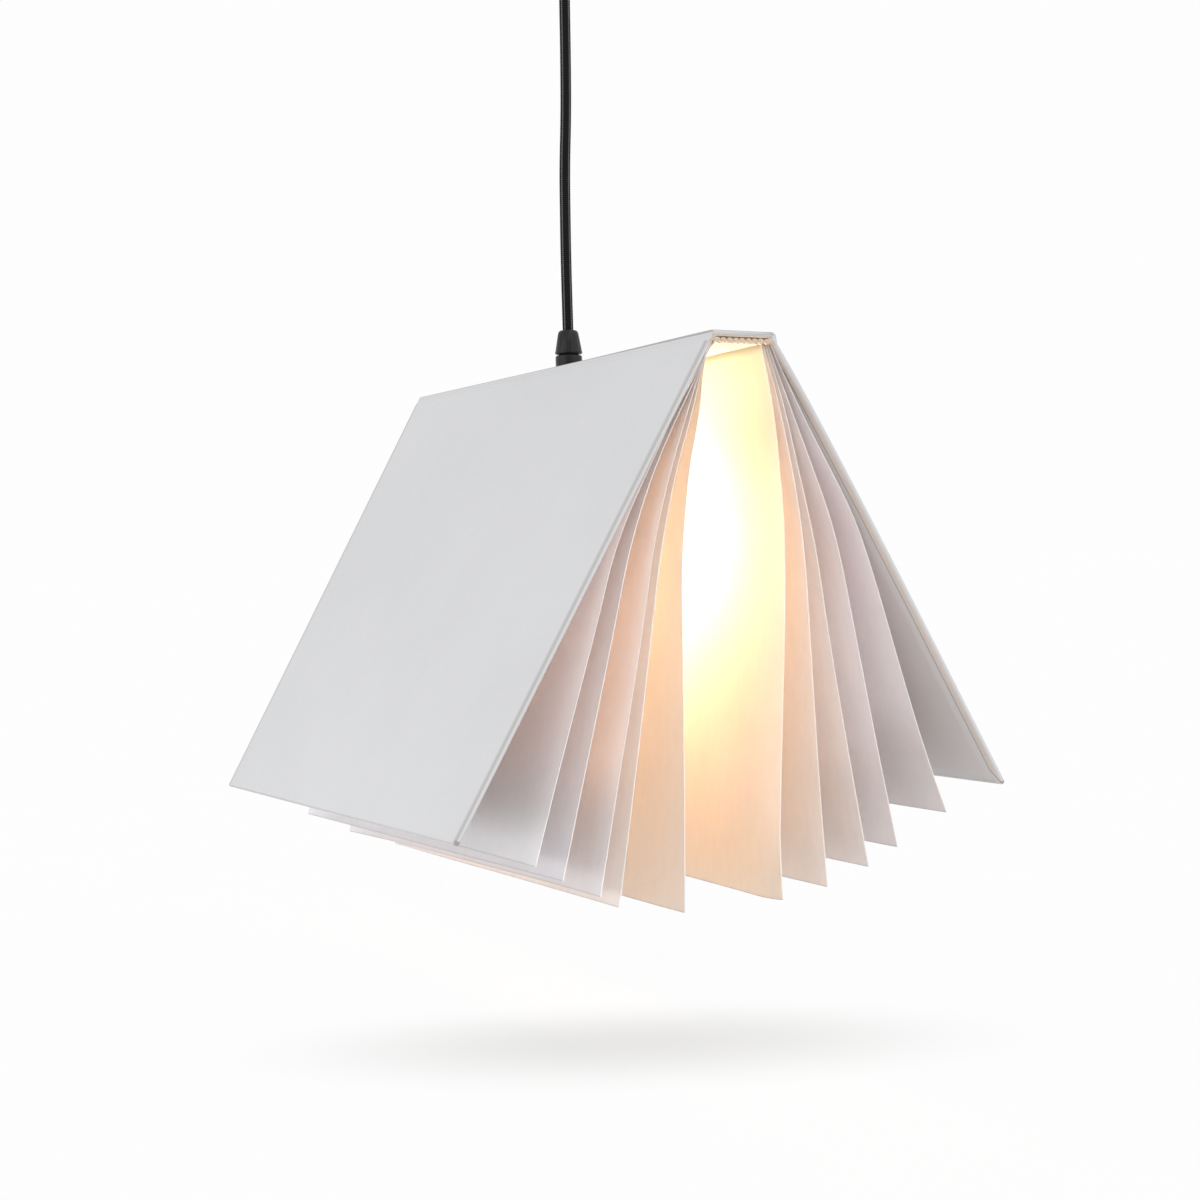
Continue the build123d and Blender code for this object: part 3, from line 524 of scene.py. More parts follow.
def bulb_material():
    """opal glass, lit from inside"""
    n = Nodes("bulb_glass")
    base = n.shader(n.mix(n.spread(n.noise(35.0, 2.0), 0.3, 0.7), (0.90, 0.84, 0.74), (0.95, 0.91, 0.83)), n.spread(n.noise(220.0), 0.3, 0.7, 0.22, 0.34))
    node = base.node
    node.inputs["Emission Color"].default_value = (*BULB_COLOR, 1.0)
    node.inputs["Emission Strength"].default_value = BULB_STRENGTH
    return n.done(base)


BULB_COLOR = (1.0, 0.73, 0.44)
BULB_STRENGTH = 50.0
bulb_glass = bulb_material()

FINISH = {
    "fitting_paint": paint, "steel": steel, "black_plastic": black_plastic, "white_plastic": white_plastic,
    "cord_textile": cord_textile, "brown_core": brown_core, "rubber": rubber, "porcelain": porcelain, "brass": brass,
    "bulb_glass": bulb_glass, "bulb_post": bulb_post, "cover_board": grey_board, "cover_cloth": cover_cloth,
    "endpaper": endpaper, "lining_paper": lining, "leaf_paper": leaf_paper, "band": band,
}
for part in frame["record"]["subparts"]:
    node = NODES[part["node"]]
    node.data.materials.clear()
    node.data.materials.append(FINISH[part["material_slot"]])
cord.data.materials.append(cord_textile)

for name, width in (
    ("ceiling_cup", 0.4), ("cup_screws", 0.15), ("cup_gland", 0.4), ("gland_nut", 0.3), ("ceiling_bracket", 0.2), ("terminal_block", 0.3), ("terminal_screws", 0.1),
    ("holder_cap", 0.5), ("holder_skirt", 0.4), ("nipple_nut", 0.3), ("nipple_washer", 0.15), ("clamp_plate", 0.25), ("clamp_rivets", 0.2), ("contact_carrier", 0.3), ("bulb_cap", 0.1),
):
    weld = NODES[name].modifiers.new("weld", "WELD")
    weld.merge_threshold = 1e-6
    bevel = NODES[name].modifiers.new("bevel", "BEVEL")
    bevel.width = width / 1000.0
    bevel.segments = 2
    bevel.limit_method = "ANGLE"
    bevel.angle_limit = math.radians(40)
    bevel.use_clamp_overlap = True
    bevel.harden_normals = True


# ------------------------------------------------------------------ covers
COVER_A = {-1: (31.8, 29.5), 1: (31.8, 31.8)}


def cover_points(side, y, s, n):
    "points on a cover: s down its slope from the spine's corner, n inwards from its outer face"
    y, s, n = (np.asarray(v, float) for v in (y, s, n))
    if side > 0:
        # the right cover bows outwards a little
        n = n - 1.75 * (1 - np.exp(-np.clip(s - 4.0, 0, 300) / 24.0)) * (1 - np.clip((s - 95) / 163, 0, 1) ** 1.3)
    ends = []
    for slope in COVER_A[side]:
        a = math.radians(slope)
        ends.append((side * (HW + s * math.sin(a) - n * math.cos(a)), -s * math.cos(a) - n * math.sin(a)))
    t = (y + END) / (2 * END)
    x, z = (p + (q - p) * t for p, q in zip(*ends))
    return np.stack([x, np.broadcast_to(y, x.shape), z], -1)


COVER_TOP, COVER_END, COVER_T = 4.3, 257.8, 2.4


def slab(name, side, y_half, s_range, n_range, edge, recess=None):
    "a board with rounded free edges; recess = (border, depth) lowers the inside of its inner face"
    bm = bmesh.new()
    s0, s1 = s_range
    n0, n1 = n_range
    corners = [bm.verts.new((y, s, n)) for n in (n0, n1) for s in (s0, s1) for y in (-y_half, y_half)]
    a, b, c, d, e, f, g, h = corners
    faces = [(a, b, d, c), (e, g, h, f), (a, e, f, b), (c, d, h, g), (a, c, g, e), (b, f, h, d)]
    made = [bm.faces.new(q) for q in faces]
    bmesh.ops.recalc_face_normals(bm, faces=bm.faces)
    inner = made[1]
    if recess:
        border, depth = recess
        ring = bmesh.ops.inset_individual(bm, faces=[inner], thickness=border, depth=0.0)
        bmesh.ops.inset_individual(bm, faces=[inner], thickness=0.25, depth=-depth)
    upright = [ed for ed in bm.edges if abs(ed.verts[0].co.z - ed.verts[1].co.z) > (n1 - n0) * 0.9]
    bmesh.ops.bevel(bm, geom=upright, offset=1.5, segments=4, affect="EDGES", profile=0.5, clamp_overlap=True)
    rims = [ed for ed in bm.edges if all(abs(v.co.z - lim) < 1e-6 for v in ed.verts for lim in [n0]) or all(abs(v.co.z - n1) < 1e-6 for v in ed.verts)]
    rims = [ed for ed in rims if len(ed.link_faces) == 2 and abs(ed.link_faces[0].normal.dot(ed.link_faces[1].normal)) < 0.3]
    bmesh.ops.bevel(bm, geom=rims, offset=edge, segments=4, affect="EDGES", profile=0.5, clamp_overlap=True)
    for axis, low, high, step in ((0, -y_half, y_half, 16.0), (1, s0, s1, 16.0)):
        count = int((high - low) / step)
        cuts = [low + (high - low) * k / count for k in range(1, count)]
        cuts += [end + turn * d for end, turn in ((low, 1), (high, -1)) for d in (1.2, 1.7, 2.2, 3.6)]
        for cut in cuts:
            where, normal = Vector((0, 0, 0)), Vector((0, 0, 0))
            where[axis] = cut
            normal[axis] = 1.0
            bmesh.ops.bisect_plane(bm, geom=bm.verts[:] + bm.edges[:] + bm.faces[:], plane_co=where, plane_no=normal)
    bm.normal_update()
    layer = bm.loops.layers.uv.new("UVMap")
    for face in bm.faces:
        face.smooth = True
        for loop in face.loops:
            loop[layer].uv = (loop.vert.co.x / 100.0, loop.vert.co.y / 100.0)
    inside = [face for face in bm.faces if face.normal.z > 0.6]
    ends = [face for face in bm.faces if abs(face.normal.y) < 0.5 and abs(face.normal.x) > 0.8]
    flat = np.array([v.co for v in bm.verts])
    moved = place(cover_points(side, flat[:, 0], flat[:, 1], flat[:, 2]))
    bm.faces.index_update()
    inner_index, end_index = {face.index for face in inside}, {face.index for face in ends}
    me = bpy.data.meshes.new(name)
    bm.to_mesh(me)
    bm.free()
    me.vertices.foreach_set("co", moved.ravel())
    me.update()
    # keep the faces turned outwards on both sides
    if side > 0:
        me.flip_normals()
    ob = bpy.data.objects.new(name, me)
    scene.collection.objects.link(ob)
    return ob, inner_index, end_index


def paint_edge_shade(ob):
    "marks the rounded edges of a cover's outer face"
    me = ob.data
    uv = np.zeros(len(me.loops) * 2)
    me.uv_layers[0].data.foreach_get("uv", uv)
    uv = uv.reshape(-1, 2) * 100
    to_end, to_foot, to_top = END - np.abs(uv[:, 0]), COVER_END - uv[:, 1], uv[:, 1] - COVER_TOP
    mark = np.interp(to_end, [0.0, 0.1, 0.4, 1.2, 2.2, 3.6], [0.05, 0.3, 0.6, 0.55, 0.35, 0.0])
    mark = np.maximum(mark, np.interp(to_foot, [0.05, 0.35, 0.8], [0.15, 0.5, 0.0]))
    mark = np.maximum(mark, np.interp(to_top, [0.05, 0.35, 0.95], [0.25, 0.25, 0.0]))
    mark = np.maximum(mark, np.where((to_end < 1.7) & (to_foot < 1.7), 1.0, 0.0))
    attribute = me.attributes.new("edge_shade", "FLOAT", "CORNER")
    attribute.data.foreach_set("value", mark.astype(np.float32))


for side, word in ((-1, "left"), (1, "right")):
    cover, inner_index, end_index = slab(word + "_cover_wrap", side, 159.95, (COVER_TOP, COVER_END), (0.0, COVER_T), 1.0, recess=None)
    cover.data.materials.append(cover_cloth)
    cover.data.materials.append(turned_cloth)
    cover.data.materials.append(lit_edge_cloth)
    for face in cover.data.polygons:
        if face.index in inner_index:
            face.material_index = 1
        # the end faces take the lighter copy of the cloth, painted light
        elif face.index in end_index:
            face.material_index = 2
    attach(cover, word + "_cover")
    paint_edge_shade(cover)
    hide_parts(word + "_cover_cloth", word + "_cover_board")

    # endpaper: a sheet a little smaller than its bay, with slightly lifted corners
    rows, cols = 41, 49
    u, v = np.linspace(0, 1, rows)[:, None], np.linspace(0, 1, cols)[None, :]
    s = 4.8 + u * (256.6 - 4.8) + 0 * v
    y = -155.5 + v * 311.0 + 0 * u
    lift = 0.05 + ripple(31 + side, u, v, [(0.02, 1.3, 1.1), (0.015, 2.7, 3.1)])
    top = cover_points(side, y, s, 2.42 + lift)
    low = cover_points(side, y, s, np.full(y.shape, 2.2))
    verts = np.concatenate([place(top).reshape(-1, 3), place(low).reshape(-1, 3)])
    faces = grid_faces(rows, cols, flip=side > 0) + grid_faces(rows, cols, rows * cols, flip=side < 0)
    loop = [j for j in range(cols)] + [i * cols + cols - 1 for i in range(1, rows)] + [(rows - 1) * cols + j for j in range(cols - 2, -1, -1)] + [i * cols for i in range(rows - 2, 0, -1)]
    first = len(faces)
    for p, q in zip(loop, loop[1:] + loop[:1]):
        quad = (p, q, q + rows * cols, p + rows * cols)
        faces.append(quad[::-1] if side < 0 else quad)
    sheet = mesh_object(word + "_endpaper_sheet", verts, faces, range(first, len(faces)))
    sheet.data.materials.append(endpaper)
    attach(sheet, word + "_cover")
    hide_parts(word + "_endpaper")


# ------------------------------------------------------------------ spine wrap and cloth joints
def swept(name, profile, ys, material, taper=None, closed_ends=True):
    "a closed x-z profile swept along the spine; taper(y) shrinks it at the ends"
    prof = np.asarray(profile, float)
    rings = []
    for y in ys:
        p = prof if taper is None else taper(prof, y)
        rings.append(np.stack([p[:, 0], np.full(len(p), y), p[:, 1]], -1))
    verts = place(np.concatenate(rings))
    faces = grid_faces(len(ys), len(prof), wrap=True)
    first = len(faces)
    faces.append(tuple(range(len(prof)))[::-1])
    faces.append(tuple(range((len(ys) - 1) * len(prof), len(ys) * len(prof))))
    ob = mesh_object(name, verts, faces, (first, first + 1))
    ob.data.materials.append(material)
    return ob


def arc(cx, cz, r, start, stop, count=6):
    return [(cx + r * math.cos(a), cz + r * math.sin(a)) for a in np.linspace(math.radians(start), math.radians(stop), count)]


def spine_profile():
    r, top, low = 0.9, 0.0, -1.55
    points = arc(HW - r, top - r, r, 0, 90) + [(x, top + 0.0) for x in (10.0, 4.0, -4.0, -10.0)]
    points += arc(-HW + r, top - r, r, 90, 180) + arc(-HW + 0.4, low + 0.4, 0.4, 180, 270, 4) + [(0.0, low)] + arc(HW - 0.4, low + 0.4, 0.4, 270, 360, 4)
    return points[::-1]


def spine_taper(prof, y):
    "rounds the wrap's two ends"
    gap = END - abs(y)
    r = 0.8
    prof = prof.copy()
    prof[:, 1] += np.where(prof[:, 1] > -0.95, 0.7 * np.clip((-y - 40) / 100, 0, 1), 0)
    prof[:, 0] += np.where(prof[:, 0] > 14.0, 0.9 * np.clip((-y - 40) / 100, 0, 1), 0)
    if gap >= r:
        return prof
    k = r - math.sqrt(max(0.0, r * r - (r - gap) ** 2))
    out = prof.copy()
    out[:, 0] *= 1 - k / HW
    mid = -0.78
    out[:, 1] = mid + (out[:, 1] - mid) * (1 - k * 0.7)
    return out


end_steps = [0.0, 0.08, 0.25, 0.5, 0.8]
ys = [-END + v for v in end_steps] + list(np.linspace(-150, 150, 21)) + [END - v for v in end_steps[::-1]]
spine = swept("spine_wrap", spine_profile(), ys, cover_cloth, spine_taper)
flat = np.array([v.co for v in spine.data.vertices]) * 1000 - np.array(SHADE)
# painted shade along the wrap's long rounded corners and near its rounded ends
mark = np.interp(np.abs(flat[:, 0]), [15.85, 16.3], [0.0, 0.75]) * np.interp(flat[:, 2], [-1.1, -0.9], [0.0, 1.0])
mark = np.maximum(mark, np.interp(END - np.abs(flat[:, 1]), [0.1, 0.3, 0.8], [0.0, 0.55, 0.0]) * np.interp(flat[:, 2], [-0.6, -0.3], [0.0, 1.0]))
spine.data.attributes.new("edge_shade", "FLOAT", "POINT").data.foreach_set("value", mark.astype(np.float32))
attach(spine, "shade")
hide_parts("spine_cloth")

under = swept("spine_lining_strip", [(-15.6, -1.5), (-15.6, -2.2), (15.4, -2.2), (15.4, -1.5)][::-1], [-159.8, -150, 0, 150, 159.8], lining)
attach(under, "shade")
# a thin dark brown strip between the lining strip and the headbands at each end: painted shade for the shadow in the
# gap there
shade_line = swept("painted_gap_shade", [(-15.4, -2.15), (-15.4, -2.75), (15.0, -2.95), (15.6, -2.15)][::-1], [-159.6, -158.0], gap_shade_paint)
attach(shade_line, "shade")
shade_line = swept("painted_gap_shade_far", [(-15.4, -2.15), (-15.4, -2.75), (15.0, -2.95), (15.6, -2.15)][::-1], [158.0, 159.6], gap_shade_paint)
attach(shade_line, "shade")

def joint_strip(name, side, s, outer, inner, material, ends=0.15, swell=0.0):
    "a strip over a cover's joint, from its outer to its inner depth, with softened ends"
    ys = [-END + ends, -END + ends + 0.12, -END + ends + 0.5] + list(np.linspace(-158, 158, 25)) + [END - ends - 0.5, END - ends - 0.12, END - ends]
    rings = []
    for y in ys:
        gap = max(0.0, 0.5 - (END - ends - abs(y))) / 0.5
        shrink = 0.22 * gap**2
        rise = swell * np.clip(0.7 - y / 530, 0.4, 1.0) if side > 0 else 0.0
        a = cover_points(side, np.full(len(s), y), s, outer + shrink - rise)
        b = cover_points(side, np.full(len(s), y), s[::-1], (inner - shrink)[::-1])
        rings.append(np.concatenate([a, b]))
    count = len(s) * 2
    faces = grid_faces(len(ys), count, wrap=True, flip=side < 0)
    first = len(faces)
    faces.append(tuple(range(count))[::-1] if side > 0 else tuple(range(count)))
    last = tuple(range((len(ys) - 1) * count, len(ys) * count))
    faces.append(last if side > 0 else last[::-1])
    ob = mesh_object(name, place(np.concatenate(rings)), faces, (first, first + 1))
    ob.data.materials.append(material)
    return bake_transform(ob)


for side, word in ((-1, "left"), (1, "right")):
    s = np.array([-0.5, 0.1, 0.7, 1.3, 2.0, 2.7, 3.4, 4.1, 4.8, 5.6])
    outer = np.array([0.95, 0.42, 0.20, 0.14, 0.26, 0.46, 0.34, 0.12, 0.04, 0.30])
    middle = np.array([1.9, 1.55, 1.42, 1.45, 1.62, 1.80, 1.68, 1.50, 1.40, 1.45])
    inner = np.array([3.6, 3.5, 3.4, 3.25, 3.15, 3.05, 2.9, 2.7, 2.55, 2.30])
    swell = np.array([0.6, 1.2, 1.5, 1.6, 1.6, 1.45, 1.1, 0.6, 0.25, 0.05])
    joint = joint_strip(word + "_joint", side, s, outer, middle, cover_cloth, swell=swell)
    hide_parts(word + "_joint_cloth")
    backing = joint_strip(word + "_joint_lining", side, s, middle - 0.02, inner, lining, 0.35)


# ------------------------------------------------------------------ headbands
def beads():
    verts, faces = [], []
    r = random.Random(5)
    for y0, turn in ((-159.55, -1), (158.35, 1)):
        for k in range(9):
            cx = 3.45 * k - 14.4 + r.uniform(-0.08, 0.08)
            rx = 1.78 + r.uniform(-0.05, 0.05)
            rz = 1.36 + r.uniform(-0.05, 0.05)
            cz = -4.05 + r.uniform(-0.06, 0.06)
            start, rings, seg = len(verts), 11, 22
            for i in range(rings):
                f = math.pi * i / (rings - 1)
                for j in range(seg):
                    a = 2 * math.pi * j / seg
                    groove = 1 - 0.035 * (0.5 + 0.5 * math.cos(9 * a + 0.6 * i))
                    verts.append((cx + rx * groove * math.sin(f) * math.cos(a), y0 - 0.6 + 1.45 * math.cos(f), cz + rz * groove * math.sin(f) * math.sin(a)))
            faces += grid_faces(rings, seg, start, wrap=True)
    ob = mesh_object("headband_beads", place(verts), faces)
    ob.data.materials.append(band)
    return ob


bead = beads()
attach(bead, "shade")
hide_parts("headbands")


# ------------------------------------------------------------------ leaves
LEAVES = {
    "left_1": (0, [(-32.2, -31.0), (-48.4, -58.0), (-63.4, -85.0), (-70.9, -102.3), (-76.6, -119.7), (-99.2, -188.0), (-113.5, -233.0)], 2.5, -1.5, 0.0),
    "left_2": (1, [(-30.2, -31.0), (-45.7, -58.4), (-57.3, -85.0), (-63.2, -102.5), (-67.9, -120.0), (-86.4, -189.0), (-100.3, -240.6)], 3.6, -4.4, 0.0),
    "left_3": (2, [(-27.3, -31.0), (-37.7, -58.4), (-46.3, -85.0), (-50.7, -102.8), (-54.1, -120.5), (-69.1, -190.4), (-81.9, -249.6)], 11.0, -8.1, 0.0),
    "left_4": (3, [(-25.3, -31.0), (-34.7, -58.3), (-42.4, -85.0), (-46.5, -102.9), (-49.6, -120.6), (-61.2, -191.1), (-72.6, -255.4)], 30.6, -12.6, 0.0),
    "left_5": (4, [(-22.3, -31.0), (-28.5, -58.3), (-32.6, -85.3), (-34.6, -103.2), (-35.4, -121.1), (-36.7, -193.0), (-38.5, -261.8)], 7.0, -1.0, -0.8),
    "right_1": (0, [(30.6, -31.0), (46.7, -58.0), (63.0, -86.5), (70.9, -105.7), (77.6, -125.0), (104.6, -204.2), (115.3, -230.8)], 0.6, 0.3, 0.0),
    "right_2": (1, [(26.0, -31.0), (37.5, -58.0), (48.8, -86.3), (54.2, -105.3), (58.4, -124.4), (74.6, -201.8), (84.1, -244.7)], -2.0, -0.6, 0.0),
    "right_3": (2, [(22.7, -31.0), (29.8, -58.1), (36.7, -86.1), (40.6, -105.0), (43.5, -123.9), (56.5, -200.4), (66.2, -252.3)], -3.0, -0.6, 0.6),
    "right_4": (3, [(20.1, -31.0), (26.4, -58.1), (31.3, -86.1), (33.2, -104.8), (34.3, -123.5), (37.7, -198.9), (41.4, -259.2)], 2.0, 0.2, 2.4),
    "right_5": (4, [(16.7, -31.0), (19.8, -58.1), (21.7, -85.9), (21.7, -104.5), (21.1, -123.1), (16.8, -197.2), (13.2, -262.8)], 1.5, 0.4, 6.5),
}
BULGE = [0.25, 0.62, 0.92, 1.0, 0.97, 0.8, 0.66]
WARP = [(1.9, 3.2, 3.6, 3.0, 2.4, 2.3, 2.5), (0.9, 2.1, 2.4, 2.2, 2.1, 2.6, 3.6)]
CREASE_X = [15.69 - 0.35 * k for k in range(5)]
CREASE_Z = [4.16 + 0.57 * k for k in range(5)]
CREASE_X_RIGHT = [15.69 - 1.05 * k for k in range(5)]


def end_lift(y):
    "the sheets' backs spring up towards the spine's ends, past the clamp plate"
    t = np.clip((np.abs(y) - 66) / 80, 0, 1)
    return 1.5 * t * t * (3 - 2 * t)


def leaf_line(index, points, dx, dz, bulge, far, mid):
    "the leaf's middle line: far runs 0 to 1 along the spine, mid is 1 at the middle"
    side = -1 if points[0][0] < 0 else 1
    cx, cz = (-CREASE_X[index] if side < 0 else CREASE_X_RIGHT[index]), -CREASE_Z[index]
    drop = cz - points[-1][1]
    slope = (points[0][0] - cx) / (cz - points[0][1])
    line = [(cx, cz + 0.05)]
    if side < 0:
        line += [(-17.1 + 0.3 * index, cz - 3.2 + 0.4 * index)]
    for k, ((px, pz), b) in enumerate(zip(points, BULGE)):
        d = (cz - pz) / drop
        shift = WARP[index][k] if side < 0 and index < 2 else dx * d**1.6
        line.append((px + far * shift + mid * bulge * b, pz + far * dz * d**2))
    return line


acrosses = np.concatenate([np.linspace(0, 0.955, 30)[1:], 1 - np.array([5.0, 3.0, 1.6, 0.8, 0.4, 0.12, 0.0]) / 158.0])
acrosses = np.concatenate([-acrosses[::-1], [0.0], acrosses])
downs = np.concatenate([np.linspace(0, 0.975, 66), 1 - np.array([4.0, 2.4, 1.4, 0.8, 0.4, 0.12, 0.0]) / 250.0])
ROWS, COLS = len(downs), len(acrosses)
for number, (key, (index, points, dx, dz, bulge)) in enumerate(LEAVES.items()):
    word, count = key.split("_")
    side = -1 if word == "left" else 1
    middle = 0.5 if key in ("left_1", "left_2") else 0.27
    near, half, far = (curve_through(leaf_line(index, points, dx, dz, bulge, f, m), downs) for f, m in ((0.0, 0.0), (middle, 1.0), (1.0, 0.0)))
    v = acrosses
    L = np.stack([v * (v - 1) / 2, 1 - v * v, v * (v + 1) / 2])
    xz = np.einsum("kj,kic->ijc", L, np.stack([near, half, far]))
    u = downs[:, None]
    V = v[None, :] + 0 * u
    y = 158.0 * V
    grow = np.clip(u * 1.6 - 0.25, 0, 1) ** 1.5
    wave = ripple(100 + number, u + 0 * V, (V + 1) / 2, [(0.40, 0.7, 1.0), (0.20, 1.1, 1.9)])
    edge = np.clip((1 - np.abs(V)) / 0.15, 0, 1)
    edge = edge * edge * (3 - 2 * edge)
    shift = wave * grow * edge
    x = xz[..., 0] + shift
    z = xz[..., 1].copy()
    if key == "right_5":
        # the near lower corner curls towards the middle
        c = np.clip((-V - 0.90) / 0.10, 0, 1) * np.clip((u - 0.86) / 0.14, 0, 1)
        x = x + 2.4 * c**1.6
        z = z + 0.5 * c**2
    z = z + end_lift(y) * np.exp(-8 * u)
    P = np.stack([x, y, z], -1)
    du, dv = np.gradient(P, axis=0), np.gradient(P, axis=1)
    n = np.cross(du, dv)
    n /= np.linalg.norm(n, axis=-1)[..., None]
    near_rim = 158.0 * (1 - np.abs(V)) + 0 * u
    growth = np.clip((u - 0.06) / 0.35, 0, 1)
    half_thick = (0.16 + 0.05 * growth * np.clip(1.4 - near_rim, 0, 1) - 0.07 * np.clip(1 - near_rim / 0.12, 0, 1))[..., None]
    verts = np.concatenate([(P + half_thick * n).reshape(-1, 3), (P - half_thick * n).reshape(-1, 3)])
    faces = grid_faces(ROWS, COLS, flip=True) + grid_faces(ROWS, COLS, ROWS * COLS)
    loop = [j for j in range(COLS)] + [i * COLS + COLS - 1 for i in range(1, ROWS)] + [(ROWS - 1) * COLS + j for j in range(COLS - 2, -1, -1)] + [i * COLS for i in range(ROWS - 2, 0, -1)]
    first = len(faces)
    for p, q in zip(loop, loop[1:] + loop[:1]):
        faces.append((p, q, q + ROWS * COLS, p + ROWS * COLS))
    down = np.concatenate([[0], np.cumsum(np.linalg.norm(np.diff(near, axis=0), axis=1))])
    uv_one = np.stack([y / 100.0, np.broadcast_to((down[-1] - down)[:, None] / 100.0, y.shape)], -1).reshape(-1, 2)
    leaf = mesh_object(f"{word}_leaf_sheet_{count}", place(verts), faces, range(first, len(faces)), np.concatenate([uv_one, uv_one]))
    leaf.data.materials.append(papers[key])
    leaf.data.materials.append(leaf_rim)
    rim_grid = (near_rim < 0.5) & (u > 0.08)
    quads = (rim_grid[:-1, :-1].astype(int) + rim_grid[1:, :-1] + rim_grid[:-1, 1:] + rim_grid[1:, 1:]) >= 3
    at_side = np.array([158.0 - abs(y.flat[p]) < 0.01 and 158.0 - abs(y.flat[q]) < 0.01 for p, q in zip(loop, loop[1:] + loop[:1])])
    picks = np.concatenate([quads.ravel(), quads.ravel(), at_side])
    leaf.data.polygons.foreach_set("material_index", picks.astype(np.int32))
    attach(leaf, f"{word}_leaf_{count}")
    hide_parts("leaf_" + key)


for k in range(5):
    # a sheet's back, from crease to crease
    y = np.concatenate([[-158.0, -157.8], np.linspace(-156, 156, 40), [157.8, 158.0]])[:, None]
    x = np.linspace(-CREASE_X[k] - 0.1, CREASE_X_RIGHT[k] + 0.1, 9)[None, :]
    z = -CREASE_Z[k] + end_lift(y) + 0 * x
    rows, cols = z.shape
    P = np.stack([x + 0 * y, y + 0 * x, z], -1).reshape(-1, 3)
    verts = np.concatenate([P + (0, 0, 0.14), P - (0, 0, 0.14)])
    faces = grid_faces(rows, cols, flip=True) + grid_faces(rows, cols, rows * cols)
    loop = [j for j in range(cols)] + [i * cols + cols - 1 for i in range(1, rows)] + [(rows - 1) * cols + j for j in range(cols - 2, -1, -1)] + [i * cols for i in range(rows - 2, 0, -1)]
    first = len(faces)
    for p, q in zip(loop, loop[1:] + loop[:1]):
        faces.append((p, q, q + rows * cols, p + rows * cols))
    back = mesh_object(f"sheet_back_{k + 1}", place(verts), faces, range(first, len(faces)), np.tile(np.array([0.0, 2.4]), (len(verts), 1)))
    back.data.materials.append(papers["backs"])
    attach(back, "shade")
    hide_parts("sheet_backs")


# ------------------------------------------------------------------ cord grip
def turned(name, profile, around, base_z, shape=None):
    "a closed radius-height profile turned about the cord's axis; shape(angle, r, z) changes the radius"
    a = np.linspace(0, 2 * math.pi, around, endpoint=False)
    rows = []
    for r, z in profile:
        rr = np.full(around, float(r)) if shape is None else shape(a, r, z)
        rows.append(np.stack([HOLE[0] + rr * np.cos(a), HOLE[1] + rr * np.sin(a), np.full(around, base_z + z)], -1))
    verts = np.concatenate(rows) / 1000.0
    faces = grid_faces(len(profile), around, wrap=True)
    n = len(profile)
    faces += [((n - 1) * around + j, (n - 1) * around + (j + 1) % around, (j + 1) % around, j) for j in range(around)]
    return mesh_object(name, verts, faces)


def facets(a, r, z):
    "soft upright facets on the cone"
    if r < 4.2 or z < 10.2:
        return np.full(len(a), float(r))
    return r * (1 - 0.014 * (0.5 - 0.5 * np.cos(20 * a)) - 0.006)


cone = [(3.0, 8.4), (6.6, 8.4), (6.88, 8.46), (7.08, 8.62), (7.22, 8.9), (7.26, 9.2), (7.24, 9.6), (7.12, 9.9), (7.0, 10.15)]
cone += [(7.08 - 1.55 * t, 10.4 + 8.9 * t) for t in np.linspace(0, 1, 12)]
cone += [(5.36, 19.75), (5.12, 20.2), (4.78, 20.6), (4.4, 20.85), (3.9, 20.97), (3.25, 21.0), (3.05, 20.8), (3.0, 20.4)]
grip_top = turned("grip_cone", cone, 160, -262.0, facets)
low = [(3.0, 0.06), (6.7, 0.06), (6.95, 0.2), (7.08, 0.45), (7.1, 0.8), (7.1, 5.4), (7.1, 6.6), (7.04, 6.95), (6.86, 7.3), (6.6, 7.52), (6.2, 7.6), (5.4, 7.62), (5.3, 7.8), (5.3, 8.6), (3.0, 8.6)]
grip_low = turned("grip_base", low, 128, -262.0)
for ob, node in ((grip_top, "grip_cap"), (grip_low, "grip_body")):
    ob.data.materials.append(black_plastic)
    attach(ob, "pendant")
    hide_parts(node)

# ------------------------------------------------------------------ floor, background and light
FLOOR_Z = -0.597
world = bpy.data.worlds.new("studio")
scene.world = world
world.use_nodes = True
sky = world.node_tree.nodes["Background"]
sky.inputs["Strength"].default_value = 1.0
heading = world.node_tree.nodes.new("ShaderNodeTexCoord")
split = world.node_tree.nodes.new("ShaderNodeSeparateXYZ")
height = world.node_tree.nodes.new("ShaderNodeMapRange")
blend = world.node_tree.nodes.new("ShaderNodeMix")
blend.data_type = "RGBA"
height.interpolation_type = "SMOOTHSTEP"
height.inputs["From Min"].default_value = -0.35
height.inputs["From Max"].default_value = -0.02
blend.inputs[6].default_value = (0.63, 0.625, 0.63, 1.0)
blend.inputs[7].default_value = (0.985, 0.985, 0.985, 1.0)
for a, b in ((heading.outputs["Generated"], split.inputs[0]), (split.outputs[2], height.inputs["Value"]), (height.outputs[0], blend.inputs[0]), (blend.outputs[2], sky.inputs["Color"])):
    world.node_tree.links.new(a, b)

floor = mesh_object("floor", [(-150, -150, FLOOR_Z), (150, -150, FLOOR_Z), (150, 150, FLOOR_Z), (-150, 150, FLOOR_Z)], [(0, 1, 2, 3)])


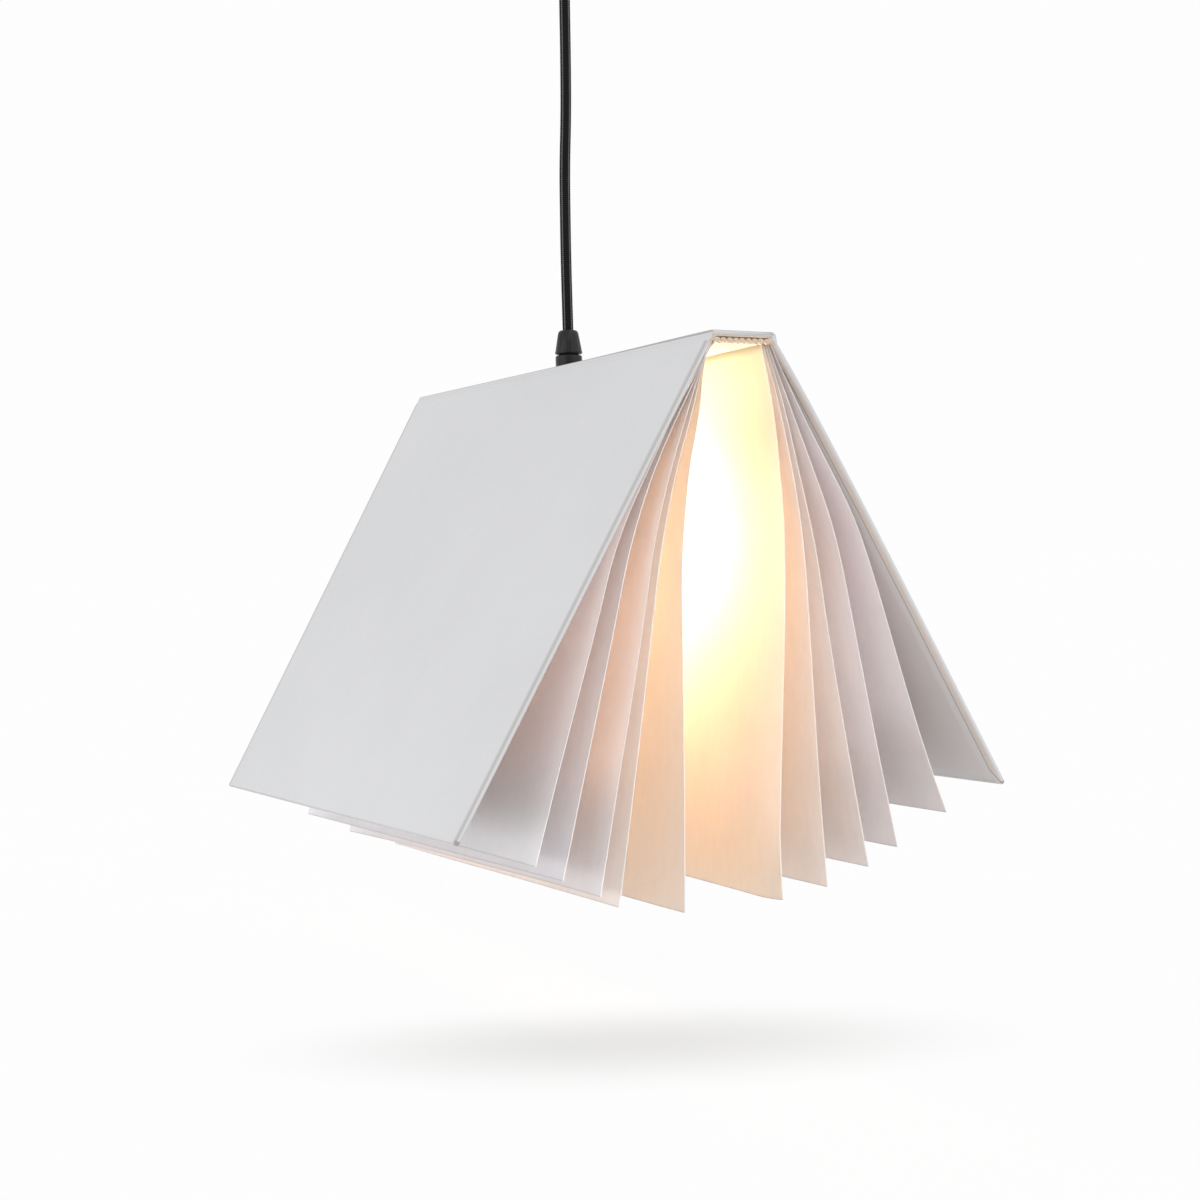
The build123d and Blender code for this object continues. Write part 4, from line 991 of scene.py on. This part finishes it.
def floor_material():
    "pale floor with a soft shade under the lamp, open from below"
    n = Nodes("floor")
    place_ = n.add("ShaderNodeMapping")
    coords = n.add("ShaderNodeTexCoord")
    n.link(coords.outputs["Object"], place_.inputs["Vector"])
    place_.inputs["Location"].default_value = (-SHADOW[0], -SHADOW[1], 0)
    turn = n.add("ShaderNodeMapping")
    turn.inputs["Rotation"].default_value = (0, 0, math.radians(30))
    n.link(place_.outputs[0], turn.inputs["Vector"])
    parts = n.add("ShaderNodeSeparateXYZ")
    n.link(turn.outputs[0], parts.inputs[0])
    dx = n.math("POWER", n.math("ABSOLUTE", n.math("DIVIDE", parts.outputs[0], SHADOW[2])), 2.0)
    dy = n.math("POWER", n.math("ABSOLUTE", n.math("DIVIDE", parts.outputs[1], SHADOW[3])), 2.0)
    far = n.math("SQRT", n.math("ADD", dx, dy))
    shade = n.spread(far, 0.0, 1.0, 1.0, 0.0)
    glow = n.add("ShaderNodeEmission")
    n.put(glow.inputs["Color"], n.mix(shade, (0.975, 0.975, 0.975), (0.785, 0.785, 0.777)))
    skin = n.add("ShaderNodeBsdfDiffuse")
    n.put(skin.inputs["Color"], n.mix(n.spread(n.noise(14.0, 3.0), 0.3, 0.7), (0.010, 0.010, 0.010), (0.012, 0.012, 0.012)))
    both = n.add("ShaderNodeAddShader")
    n.link(glow.outputs[0], both.inputs[0])
    n.link(skin.outputs[0], both.inputs[1])
    back = n.add("ShaderNodeNewGeometry")
    clear = n.add("ShaderNodeBsdfTransparent")
    pick = n.add("ShaderNodeMixShader")
    n.link(back.outputs["Backfacing"], pick.inputs[0])
    n.link(both.outputs[0], pick.inputs[1])
    n.link(clear.outputs[0], pick.inputs[2])
    return n.done(pick.outputs[0])


SHADOW = (-0.035, -0.095, 0.208, 0.089)
floor.data.materials.append(floor_material())
floor.visible_diffuse = floor.visible_transmission = floor.visible_shadow = False


def soft_light(name, where, aim, size, power, color=(1, 1, 1)):
    data = bpy.data.lights.new(name, "AREA")
    data.shape = "DISK"
    data.size = size
    data.energy = power
    data.color = color
    ob = bpy.data.objects.new(name, data)
    scene.collection.objects.link(ob)
    ob.location = where
    ob.rotation_mode = "QUATERNION"
    ob.rotation_quaternion = (Vector(aim) - Vector(where)).to_track_quat("-Z", "Y")
    return ob


def glow(name, where, radius, power, color):
    "part of the bulb's light, spread out along the leaves, which turns with them"
    data = bpy.data.lights.new(name, "POINT")
    data.shadow_soft_size = radius
    data.energy = power
    data.color = color
    ob = bpy.data.objects.new(name, data)
    scene.collection.objects.link(ob)
    ob.location = place([where])[0]
    ob.visible_camera = False
    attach(ob, "shade")
    return ob


for sign in (-1, 1):
    glow(f"bulb_glow_{sign + 2}", (9.0, 62.0 * sign, -84.0), 0.018, 1.02, (1.0, 0.73, 0.42))
    glow(f"top_glow_{sign + 2}", (-4.0, 120.0 * sign, -34.0), 0.010, 0.013, (1.0, 0.73, 0.42))

cover_fill = soft_light("cover_fill", (-0.45, 0.03, -0.64), (-0.14, 0.0, -0.47), 0.20, 0.16)
cover_fill.visible_camera = False
boards = bpy.data.collections.new("cover_fill_receivers")
for word in ("left", "right"):
    boards.objects.link(bpy.data.objects[word + "_cover_wrap"])
cover_fill.light_linking.receiver_collection = boards
low_fill = soft_light("low_fill", (-0.80, 0.32, -0.53), (-0.10, 0.06, -0.49), 0.30, 3.5, (0.94, 0.97, 1.0))
low_fill.visible_camera = False
lit = bpy.data.collections.new("left_leaves_lit")
for k in range(1, 5):
    lit.objects.link(bpy.data.objects[f"left_leaf_sheet_{k}"])
low_fill.light_linking.receiver_collection = lit
front = soft_light("front_fill", (-0.40, -0.80, -0.95), (0.0, -0.10, -0.42), 0.50, 1.0)
front.visible_camera = False

scene.view_settings.view_transform = "Standard"
scene.view_settings.look = "None"
